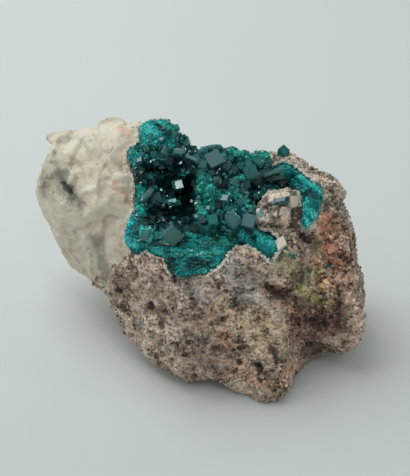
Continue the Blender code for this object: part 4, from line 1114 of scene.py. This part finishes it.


# Crystals that the eye picks out: u, v, radius, half length over radius, the face that meets the visitor,
# the slant of the crystal's axis in the view (degrees), how squarely that face mirrors the light, its lift,
# how bright its tint is, partly painted light, and how veiled, the veil also painting grey reflection on its faces.
leadCrystals = (
    (-6.4, 21.0, 0.80, 2.0, "side", -22, 1.00, 1.9, 0.7, 2.2), (-5.1, 22.9, 1.90, 1.2, "end", 60, 0.55, 0.6, 0.5, 0.4),
    (-7.7, 24.6, 1.40, 1.2, "end", 20, 0.48, 0.6, 0.5, 0.4), (-3.3, 19.2, 0.36, 5.0, "side", -36, 1.00, 2.2, 0.8, 2.2),
    (-9.4, 20.7, 1.60, 1.2, "end", 15, 0.55, 0.8, 0.35, 0.5), (-10.5, 23.6, 0.80, 1.3, "end", 50, 0.95, 0.7, 0.5, 0.4),
    (-9.9, 22.2, 0.50, 1.5, "side", 0, 1.00, 0.7, 0.5, 0.4), (-15.8, 18.8, 1.00, 1.3, "end", -40, 0.95, 0.9, 0.4, 0.8),
    (-12.4, 19.8, 1.20, 1.3, "end", 45, 0.40, 0.9, 0.4, 0.15), (-8.4, 18.2, 1.30, 1.2, "end", 120, 0.30, 0.6, 0.1, 0.0),
    (-14.0, 21.4, 0.90, 1.3, "end", 70, 0.50, 0.7, 0.5, 0.2), (-12.0, 15.2, 1.30, 1.3, "end", 35, 0.45, 0.7, 0.45, 0.1),
    (-14.6, 13.4, 0.90, 1.4, "end", 65, 0.40, 0.7, 0.3, 0.1),
    (-10.6, 17.4, 0.90, 1.3, "side", -30, 0.60, 0.7, 0.3, 0.3),
    (-13.9, 10.7, 0.85, 2.6, "side", 57, 1.00, 2.0, 0.6, 2.2),
    (-11.9, 9.4, 2.20, 1.2, "end", 60, 0.45, 0.9, 0.32, 0.25),
    (-8.5, 8.7, 0.62, 1.5, "end", 70, 0.95, 1.4, 0.4, 0.5), (-13.0, 4.5, 1.40, 1.2, "end", 30, 0.35, 0.6, 0.05, 0.15),
    (-7.7, 0.5, 3.60, 0.8, "end", 90, -0.45, 0.40, 0.45, 1.0), (-14.2, 0.9, 1.50, 1.3, "end", 120, 0.48, 0.9, 0.5, 0.5),
    (-16.2, 2.2, 1.20, 1.3, "end", 60, 0.40, 0.8, 0.4, 0.2), (-11.2, 0.2, 1.30, 1.3, "end", 30, 0.50, 0.8, 0.5, 0.3),
    (2.3, 19.2, 3.30, 0.85, "end", 75, 0.45, 1.7, 0.42, 1.5), (-0.4, 17.6, 1.60, 1.2, "end", 120, 0.50, 1.4, 0.45, 0.7),
    (4.9, 17.2, 1.50, 1.3, "end", 20, 0.35, 1.4, 0.3, 0.3), (-1.8, 18.8, 1.10, 1.3, "end", 140, 0.50, 1.0, 0.45, 0.4),
    (5.8, 19.0, 1.30, 1.2, "end", 95, 0.50, 1.0, 0.5, 0.3), (8.0, 18.6, 1.60, 1.3, "end", 30, 0.48, 1.0, 0.45, 0.6),
    (12.9, 18.4, 1.60, 1.2, "end", 100, 0.45, 1.0, 0.5, 0.2), (14.8, 18.4, 1.30, 1.3, "end", 60, 0.40, 1.0, 0.5, 0.1),
    (10.6, 17.8, 1.30, 1.3, "end", 140, 0.50, 1.0, 0.5, 0.2), (10.8, 15.7, 2.60, 1.1, "end", 62, 0.44, 1.2, 0.42, 0.28),
    (13.2, 15.9, 1.50, 1.8, "side", 15, 0.50, 1.0, 0.4, 0.4), (16.2, 16.0, 0.62, 4.6, "side", 12, 1.00, 1.8, 0.5, 0.8),
    (17.2, 14.9, 1.10, 2.2, "side", 8, 0.50, 1.2, 0.35, 0.6), (15.0, 14.0, 1.20, 1.3, "end", 60, 0.40, 0.8, 0.1, 0.1),
    (18.4, 13.2, 1.50, 1.3, "end", 90, 0.30, 0.6, 0.02, 0.1), (6.9, 13.2, 1.20, 1.3, "end", 20, 0.50, 1.2, 0.45, 0.6),
    (4.6, 9.8, 1.30, 1.2, "end", -60, 0.92, 1.6, 0.5, 0.6), (0.6, 7.2, 0.70, 1.3, "end", 40, 0.90, 1.4, 0.5, 0.4),
    (3.0, 7.6, 1.30, 1.3, "end", 110, 0.40, 1.0, 0.2, 0.1), (5.4, 7.0, 1.20, 1.2, "end", 20, 0.40, 1.0, 0.6, 0.1),
    (0.5, 3.1, 3.10, 0.9, "side", 93, 0.44, 1.4, 0.42, 0.25), (1.8, 4.6, 1.60, 1.1, "end", 60, 0.48, 1.9, 0.60, 0.1),
    (5.9, 2.2, 3.10, 0.9, "side", 92, 0.25, 1.2, 0.36, 0.05), (6.6, 4.5, 2.10, 1.2, "end", 92, 0.48, 1.7, 0.45, 0.6),
    (10.3, 4.4, 2.60, 0.9, "end", 118, 0.52, 1.7, 0.50, 1.10), (-0.8, 4.6, 1.20, 1.2, "end", 60, 0.50, 1.2, 0.3, 0.4),
    (8.2, 8.4, 1.30, 1.3, "end", 70, 0.50, 1.0, 0.4, 0.2), (6.2, 11.4, 1.10, 1.3, "end", 10, 0.45, 1.0, 0.3, 0.3),
    (2.7, 13.8, 1.10, 1.3, "side", 80, 0.50, 1.4, 0.2, 0.3), (9.6, 12.6, 1.50, 1.3, "end", 50, 0.35, 0.9, 0.2, 0.2),
    (12.0, 13.6, 1.60, 1.3, "end", 100, 0.30, 0.7, 0.1, 0.1), (-1.0, 15.8, 1.40, 1.3, "end", -30, 0.50, 1.2, 0.5, 0.2),
    (1.6, 15.4, 1.20, 1.3, "end", 60, 0.45, 1.2, 0.4, 0.2), (6.6, 16.2, 1.30, 1.3, "end", 15, 0.40, 1.0, 0.3, 0.2),
    (8.8, 17.2, 1.10, 1.3, "end", 75, 0.40, 1.0, 0.3, 0.2), (-15.4, 16.0, 1.20, 1.3, "end", 20, 0.30, 0.7, 0.1, 0.1),
    (-6.6, 8.2, 1.20, 1.2, "end", 60, 0.30, 0.8, 0.5, 0.1), (-10.8, 5.4, 1.00, 1.2, "end", 45, 0.30, 0.5, 0.03, 0.0),
    (-2.7, 2.2, 1.20, 1.2, "end", 20, 0.35, 0.6, 0.1, 0.1), (10.2, 1.6, 1.20, 1.2, "end", 10, 0.30, 0.6, 0.05, 0.1),
    (24.6, 10.4, 1.20, 1.2, "end", 40, 0.30, 0.4, 0.15, 0.0), (-17.4, 20.4, 0.90, 1.2, "end", 40, 0.40, 0.6, 0.7, 0.1),
    (-6.9, 26.4, 0.90, 1.3, "end", 70, 0.60, 0.8, 0.5, 0.3), (-16.0, 8.8, 0.90, 1.3, "end", 80, 0.40, 0.7, 0.5, 0.1),
    (-12.9, 23.9, 1.00, 1.2, "end", 10, 0.45, 0.6, 0.55, 0.2), (-11.2, 21.6, 1.10, 1.2, "end", 95, 0.40, 0.7, 0.4, 0.1),
)
# faces that flash: u, v, radius, half length over radius, face, slant, lift
glints = (
    (-5.9, 17.9, 0.48, 1.4, "end", 30, 1.3), (-5.1, 15.1, 0.34, 2.0, "side", -10, 1.6),
    (-4.1, 15.7, 0.38, 1.6, "side", 35, 1.6),
    (-6.5, 12.9, 1.50, 1.3, "end", -28, 2.0), (-5.6, 12.3, 0.60, 1.3, "side", 30, 2.0),
    (-14.8, 9.2, 0.50, 1.6, "side", 57, 1.9),
    (-11.2, 11.2, 0.40, 1.5, "side", 70, 1.6), (-10.5, 11.4, 0.42, 1.3, "end", 20, 1.6),
    (-9.1, 10.0, 0.26, 1.5, "end", 10, 1.6),
    (-8.3, 7.5, 0.44, 1.3, "end", 70, 1.8), (-10.2, 4.7, 0.46, 1.3, "side", -15, 1.7),
    (-7.4, 4.8, 0.42, 1.6, "side", -25, 1.7),
    (-8.1, 3.7, 0.26, 2.0, "side", 25, 1.7), (-2.3, 5.4, 0.52, 1.3, "end", -30, 1.8),
    (10.0, 10.6, 0.50, 1.4, "side", 70, 1.7),
    (8.8, 12.2, 0.24, 4.0, "side", 78, 1.7), (8.2, 14.9, 0.34, 1.8, "side", 80, 1.7),
    (5.6, 17.9, 0.32, 1.4, "end", 20, 1.6),
    (0.5, -5.2, 0.36, 2.4, "side", -8, 0.9), (-4.9, -3.4, 0.18, 4.6, "side", -20, 0.8),
    (-4.0, -4.3, 0.18, 3.4, "side", 8, 0.8),
    (8.3, 1.1, 0.20, 3.4, "side", 48, 1.2), (4.3, 3.9, 0.22, 2.2, "side", -30, 2.0),
    (-13.0, 18.2, 0.36, 1.4, "end", 45, 1.2),
    (-17.0, 13.3, 0.32, 1.4, "side", 20, 0.7), (-15.4, 13.1, 0.30, 1.4, "end", 60, 1.1),
    (-1.6, 14.7, 0.30, 1.8, "side", -30, 1.8),
    (-0.7, 13.0, 0.40, 1.4, "side", 20, 2.0), (-1.9, 8.8, 0.18, 3.6, "side", 0, 1.9),
    (-1.4, 8.2, 0.16, 3.0, "side", 5, 1.9),
    (3.0, 15.7, 0.20, 3.0, "side", 65, 1.6), (3.7, 13.4, 0.18, 3.4, "side", 75, 1.6),
    (5.8, 10.2, 0.20, 2.4, "side", 60, 1.6),
    (6.2, 9.0, 0.22, 1.6, "end", 10, 1.5), (-13.2, 2.6, 0.34, 1.5, "side", 10, 1.1),
    (-10.6, 1.2, 0.30, 1.5, "end", 40, 1.2),
    (-15.0, -3.2, 0.34, 1.7, "side", 20, 0.8), (12.7, 15.3, 0.26, 1.6, "end", 30, 1.5),
    (13.8, 18.3, 0.26, 1.5, "side", 40, 1.6),
    (7.9, 11.5, 0.20, 2.0, "side", 80, 1.5), (24.4, 3.0, 0.26, 1.6, "end", 20, 0.7),
    (-16.4, 5.4, 0.28, 1.5, "end", 40, 0.8),
    (-2.8, 17.1, 0.20, 2.4, "side", -40, 1.6), (1.0, 9.0, 0.18, 1.6, "end", 40, 1.9),
    (0.4, 11.6, 0.20, 1.6, "end", 80, 2.0),
    (19.2, 17.9, 0.20, 2.6, "side", 15, 0.9), (14.6, 16.9, 0.14, 6.0, "side", 24, 1.2),
    (2.2, 11.0, 0.18, 1.6, "side", 30, 2.0),
)
# the faces that flash also get a lighter, paler tint: painted highlight on top of their real reflection of the lamp
glintPaintedLight = 0.7
glintVeilAndReflection = 0.6
# and those that lie on the rock
strayCrystals = (
    (18.0, 8.7, 1.05, 2.1, "side", 13, 0.05, 2.2, 0.36, 0.0), (16.4, 8.1, 0.80, 1.5, "side", 5, 0.05, 1.8, 0.22, 0.0),
)


# the highest that the growth reaches along the rear edge: u, v
crest = (
    (-16.0, 28.0), (-9.0, 28.4), (-7.0, 26.4), (-5.0, 24.3), (-3.0, 21.7), (-1.0, 20.9), (1.0, 21.9), (3.0, 22.1),
    (5.0, 21.4),
    (7.0, 21.7), (9.0, 20.7), (15.0, 20.9), (18.0, 20.0), (40.0, 20.0),
)


def aboveCrest(u, v):
    return v > np.interp(u, *zip(*crest))


def bedPlace(u, v, tree):
    # place on the bed at u, v, or at the depth of the bed just below where it shows nothing
    for step in range(24):
        place = rayTo(u, v - 0.3 * step, tree)
        if place is not None:
            return seen(u, v, asSeen(place).z)
    return seen(u, v, missDepth["bed"])


def standingTurn(axis, spin=0.0):
    # the turn that stands a crystal along axis
    return Vector((0, 0, 1)).rotation_difference(axis) @ Quaternion((0, 0, 1), spin)


def facedTurn(face, normal, slant):
    # the turn that lays a crystal's face square to normal, with its axis slanted as given in the view
    away = Vector((math.cos(slant), 0.0, 0.0)) + upward * math.sin(slant)
    away = (away - normal * away.dot(normal)).normalized()
    local, lean = (endFace, endSlope) if face == "end" else (sideFace, math.pi / 2)
    axis = normal * math.cos(lean) + away * math.sin(lean)
    start = Matrix((local, Vector((0, 0, 1)), local.cross(Vector((0, 0, 1))))).transposed()
    goal = Matrix((normal, axis, normal.cross(axis))).transposed()
    return (goal @ start.inverted()).to_quaternion()


def standing(row, place, lamp):
    # a crystal with one face turned so that it shows the visitor that lamp
    _, _, radius, aspect, face, slant, mirror, lift = row
    toEye = (eye - place).normalized()
    toLamp = (Vector(stage["lamps"][lamp][0]) - place).normalized()
    square = (toEye + toLamp).normalized()
    normal = (square * mirror + toEye * (1 - mirror)).normalized()
    turn = facedTurn(face, normal, math.radians(slant))
    local = endFace * aspect * math.cos(endSlope) if face == "end" else sideFace * math.cos(math.pi / 6)
    return place + toEye * lift * mm - turn @ local * (radius * mm), turn


# crystals that carry those standing clear of the bed
stem = {
    "root": 0.6,  # how deep they stand in the bed, in millimetres
    "share": 0.8,  # their radius over that of the crystal they carry
    "endDepth": 1.26,  # how deep a crystal's body is behind the face that meets the visitor, over its radius
    "sideDepth": 1.73,
    "overlap": 0.6,
    "glow": 0.3,
    "veil": 0.1,
}


def stemUnder(row, place, shapes):
    # the prism behind a raised crystal, along the line of sight, or nothing where its own body reaches the bed
    _, _, radius, aspect, face, _, _, lift = row
    depth = radius * (stem["endDepth"] * aspect if face == "end" else stem["sideDepth"])
    if lift < depth:
        return []
    toEye = (eye - place).normalized()
    top = lift - depth * stem["overlap"]
    half = (top + stem["root"]) / 2
    thin = radius * stem["share"]
    shapes.append(unitCrystal(half / thin))
    middle = place + toEye * (top - half) * mm
    return [(len(shapes) - 1, middle, standingTurn(toEye), thin * mm, stem["glow"], stem["veil"])]


def buildLeadCrystals(tree):
    shapes = []
    copies = []
    for row in leadCrystals + strayCrystals:
        place = onRock(*row[:2]) if row in strayCrystals else bedPlace(*row[:2], tree)
        shapes.append(unitCrystal(row[3], bevelled=True))
        copies.append((len(shapes) - 1, *standing(row[:8], place, "ceilingBox"), row[2] * mm, *row[8:]))
        copies += stemUnder(row[:8], place, shapes)
    for row in glints:
        place = bedPlace(*row[:2], tree)
        shapes.append(unitCrystal(row[3]))
        sparkRow = (*row[:6], 1.0, row[6])
        spark = standing(sparkRow, place, "frontSpark")
        copies.append((len(shapes) - 1, *spark, row[2] * mm, glintPaintedLight, glintVeilAndReflection))
        copies += stemUnder(sparkRow, place, shapes)
    return joinedCopies("leadCrystals", shapes, copies)


# long flat crystals that lie across the shelf under the pit: strokes of u, v, u, v, radius
shelfStrokes = (
    (-8.4, -0.6, 5.0, -0.9, 1.4), (-8.0, -3.6, 2.0, -3.2, 2.2), (-7.0, -6.6, 0.6, -6.4, 1.6),
    (-16.0, -0.6, -9.0, -1.6, 1.4),
)
shelf = {
    "count": 260,
    "along": (-17.0, 7.0),
    "up": (-9.0, 1.0),
    "radius": (0.10, 0.34),
    "aspect": (1.6, 4.4),
    "shapes": 6,
    "slant": (4.0, 20.0),  # middle and spread, in degrees
    "mirror": (0.2, 1.1),
    "lift": (0.25, 0.6),  # in millimetres, and over the radius
    "glow": (0.22, 0.20),
    "veil": 0.7,
    "seed": 8,
}


def buildShelfCrystals(tree):
    rng = np.random.default_rng(shelf["seed"])
    shapes = [unitCrystal(aspect) for aspect in np.linspace(*shelf["aspect"], shelf["shapes"])]
    copies = []
    while len(copies) < shelf["count"]:
        u, v = rng.uniform(*shelf["along"]), rng.uniform(*shelf["up"])
        share = rng.random() ** 1.6
        slant, mirror, kind = rng.normal(*shelf["slant"]), rng.uniform(*shelf["mirror"]), int(rng.integers(len(shapes)))
        bright, pale = rng.normal(0.0, shelf["glow"][1]), rng.random() ** 3
        if strokeShare(u, v, shelfStrokes) <= rng.random() * 0.4:
            continue
        radius = shelf["radius"][0] + (shelf["radius"][1] - shelf["radius"][0]) * share
        row = (u, v, radius, 0, "side", slant, mirror, shelf["lift"][0] + radius * shelf["lift"][1])
        place, turn = standing(row, bedPlace(u, v, tree), "ceilingBox")
        glow = toneAndLightAt(u, v) + shelf["glow"][0] + bright
        copies.append((kind, place, turn, radius * mm, glow, pale * shelf["veil"]))
    return joinedCopies("shelfCrystals", shapes, copies)


crystalRim = {"reach": 0.62, "count": 2600, "size": (0.13, 0.34), "lean": 0.6, "spread": 0.15}


def rimSpots(rock, near, count, rng):
    # places on the rock right beside the lining, where the crystals run out against the lip
    points, normals = meshArrays(rock.data)
    strip = np.flatnonzero((near < crystalRim["reach"]) & (points[:, 2] > 1))
    strip = strip[~facesCrust(points[strip], normals[strip], 2.0)]
    picks = rng.choice(strip, min(count, len(strip)), replace=False)
    return points[picks], normals[picks]


# patches of little crystals scattered on the rock itself: u and v of both ends, radius, strength
strayStrokes = (
    (19.0, -3.4, 21.4, -4.1, 0.9, 1.0), (28.6, -7.3, 30.6, -6.5, 0.7, 1.0), (12.5, 8.4, 12.9, 5.4, 0.9, 1.0),
    (20.2, 10.4, 21.6, 10.0, 0.7, 0.8), (17.8, -8.6, 19.0, -9.2, 0.6, 0.7), (-16.2, 28.0, -15.4, 27.6, 0.6, 0.6),
)
stray = {"count": 260, "from": 0.45}


def straySpots(rock, rng):
    points, normals = meshArrays(rock.data)
    value = strokeValues(warpedPoints(points), strayStrokes)
    facing = np.einsum("ij,ij->i", np.array(eye) / mm - points, normals) > 0
    places = np.flatnonzero((value > stray["from"]) & facing)
    picks = rng.choice(places, min(stray["count"], len(places)), replace=False)
    return points[picks], normals[picks]


# crystals grown on the bed: places tried, radius, how far they lean, how far they keep off the lead crystals
# (over their radius), their shapes and the spread of their tint's painted light
prisms = (0, 1, 2)
cube = 3  # the shape with hardly any sides, for the finest
fineAspects = (1.15, 1.4, 1.8, 0.8)
growth = {
    "middling": {"count": 560, "size": (0.50, 1.15), "lean": 0.5, "keepOff": 0.5, "kinds": prisms, "spread": 0.24},
    "small": {"count": 7200, "size": (0.18, 0.60), "lean": 0.6, "keepOff": 0.4, "kinds": prisms, "spread": 0.24},
    "fine": {"count": 34000, "size": (0.12, 0.36), "lean": 0.7, "keepOff": 0.2, "kinds": (cube,), "spread": 0.22},
}
growthSeed = 4


def middlingChance(u, v):
    return 0.0 if onDruse(u, v) else 1.0 - 0.75 * pitShadeTouch(u, v)


def smallChance(u, v):
    return 0.0 if strokeShare(u, v, druseStrokes) > 0.25 else 1.0 - 0.7 * pitShadeTouch(u, v)


def fineChance(u, v):
    return 1.0 if onDruse(u, v) else 0.0


def grown(form, chance, bed, leadTree, rng):
    # crystals that stand on the bed, as many as their chance at each place lets through
    smallest, largest = form["size"]
    copies = []
    for place, normal in zip(*bedSpots(bed, form["count"], rng)):
        share = rng.random() ** 2.2
        tilt = rng.normal(size=3) * form["lean"]
        spin = rng.uniform(0, math.pi)
        kind = form["kinds"][int(rng.integers(len(form["kinds"])))]
        keep, bright, pale = rng.random(), rng.normal(), rng.random() ** 4
        spot = Vector(place) * mm
        u, v, _ = asSeen(spot)
        if keep >= chance(u, v):
            continue
        radius = smallest + (largest - smallest) * share
        if aboveCrest(u, v + radius * 1.1):
            continue
        if leadTree.find_nearest(spot, radius * form["keepOff"] * mm)[0] is not None:
            continue
        axis = Vector(normal + tilt).normalized()
        glow = toneAndLightAt(u, v)
        glow += bright * form["spread"] * min(1.0, 0.15 + glow * 2.5)
        veil = pale * 0.8 * min(1.0, glow * 2)
        copies.append((kind, spot + axis * (radius * 0.35 * mm), standingTurn(axis, spin), radius * mm, glow, veil))
    return copies


def buildFineCrystals(bed, lead, rock, near):
    shapes = [unitCrystal(aspect) for aspect in fineAspects]
    rng = np.random.default_rng(growthSeed)
    leadTree = treeOf(lead.data)
    middlingCopies = grown(growth["middling"], middlingChance, bed, leadTree, rng)
    middling = joinedCopies("middlingCrystals", shapes, middlingCopies)
    middling.data.materials.append(gemMaterial("middlingGem"))
    small = grown(growth["small"], smallChance, bed, leadTree, rng)
    fine = grown(growth["fine"], fineChance, bed, leadTree, rng)
    smallest, largest = crystalRim["size"]
    rimPlaces, rimNormals = rimSpots(rock, near, crystalRim["count"], rng)
    strayPlaces, strayNormals = straySpots(rock, rng)
    places = np.concatenate([rimPlaces, strayPlaces])
    for place, normal in zip(places, np.concatenate([rimNormals, strayNormals])):
        radius = smallest + (largest - smallest) * rng.random() ** 2
        axis = Vector(normal + rng.normal(size=3) * crystalRim["lean"]).normalized()
        turn = standingTurn(axis, rng.uniform(0, math.pi))
        spot = Vector(place) * mm
        u, v, _ = asSeen(spot)
        glow = toneAndLightAt(u, v) + rng.normal() * crystalRim["spread"]
        toDruse = onDruse(u, v) or u > 12.0
        (fine if toDruse else small).append((cube, spot, turn, radius * mm, glow, 0.0))
    green = joinedCopies("greenCrystals", shapes, small)
    green.data.materials.append(gemMaterial("smallGem"))
    teal = joinedCopies("turquoiseDruse", shapes, fine)
    teal.data.materials.append(druseMaterial())
    return middling, green, teal


# Floor, light and camera

stage = {
    "floorSize": 3.0,
    "floorColour": (0.80, 0.812, 0.808),
    "skyStrength": 0.29,
    "skyColour": (0.96, 1.0, 0.99),
    "lampColour": (0.90, 1.0, 0.99),
    "lamps": {  # place, size, watts
        "ceilingBox": ((-0.23, 0.23, 0.56), 0.50, 2.25),
        "sideSpark": ((-0.45, -0.05, 0.40), 0.07, 0.13),
        "backSpark": ((0.30, 0.45, 0.42), 0.07, 0.13),
        "frontSpark": ((0.10, -0.25, 0.60), 0.08, 0.14),
        "rightSpark": ((0.45, 0.05, 0.45), 0.06, 0.10),
    },
}


def buildStage():
    work = bmesh.new()
    bmesh.ops.create_grid(work, x_segments=2, y_segments=2, size=stage["floorSize"] / 2)
    mesh = bpy.data.meshes.new("paleFloor")
    work.to_mesh(mesh)
    work.free()
    floor = placed("paleFloor", mesh)
    sheet = Sheet("floorFinish")
    cloud = sheet.noise(sheet.place(), 160.0, 2.0)
    deeper = tuple(part * 0.97 for part in stage["floorColour"])
    colour = sheet.blend(stage["floorColour"], deeper, cloud.between(0.3, 0.7))
    mesh.materials.append(sheet.finish({"Base Color": colour, "Roughness": 0.75}))

    world = bpy.data.worlds.new("softRoom")
    bpy.context.scene.world = world
    world.use_nodes = True
    background = world.node_tree.nodes["Background"]
    background.inputs["Color"].default_value = (*stage["skyColour"], 1.0)
    background.inputs["Strength"].default_value = stage["skyStrength"]

    for name, (place, size, watts) in stage["lamps"].items():
        lamp = bpy.data.lights.new(name, "AREA")
        lamp.shape = "SQUARE"
        lamp.size = size
        lamp.energy = watts
        lamp.color = stage["lampColour"]
        holder = placed(name, lamp)
        holder.location = place
        holder.rotation_euler = (-Vector(place)).to_track_quat("-Z", "Y").to_euler()


def buildCamera():
    camera = bpy.data.cameras.new("visitorView")
    camera.sensor_width = 36.0
    camera.lens = camera.sensor_width * look["distance"] / look["frameHeight"]
    camera.clip_start = 0.01
    holder = placed("visitorView", camera)
    holder.location = eye
    holder.rotation_euler = forward.to_track_quat("-Z", "Y").to_euler()
    bpy.context.scene.camera = holder


def dress(piece):
    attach(piece, "root")


def main():
    bpy.context.scene.view_settings.view_transform = "Standard"
    buildCamera()
    buildStage()
    rock, marks, near = buildRock()
    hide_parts("matrix")
    dress(rock)
    dress(buildGrains(rock, marks, near))
    bed, bedTree = buildBed()
    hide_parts("dioptase_crust")
    dress(bed)
    lead = buildLeadCrystals(bedTree)
    lead.data.materials.append(gemMaterial("leadGem"))
    dress(lead)
    across = buildShelfCrystals(bedTree)
    across.data.materials.append(gemMaterial("shelfGem"))
    dress(across)
    for piece in buildFineCrystals(bed, lead, rock, near):
        dress(piece)
    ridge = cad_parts["ridge_crystal"]
    ridge.material_slots[0].material = gemMaterial("ridgeGem")
    print("materials done")


main()
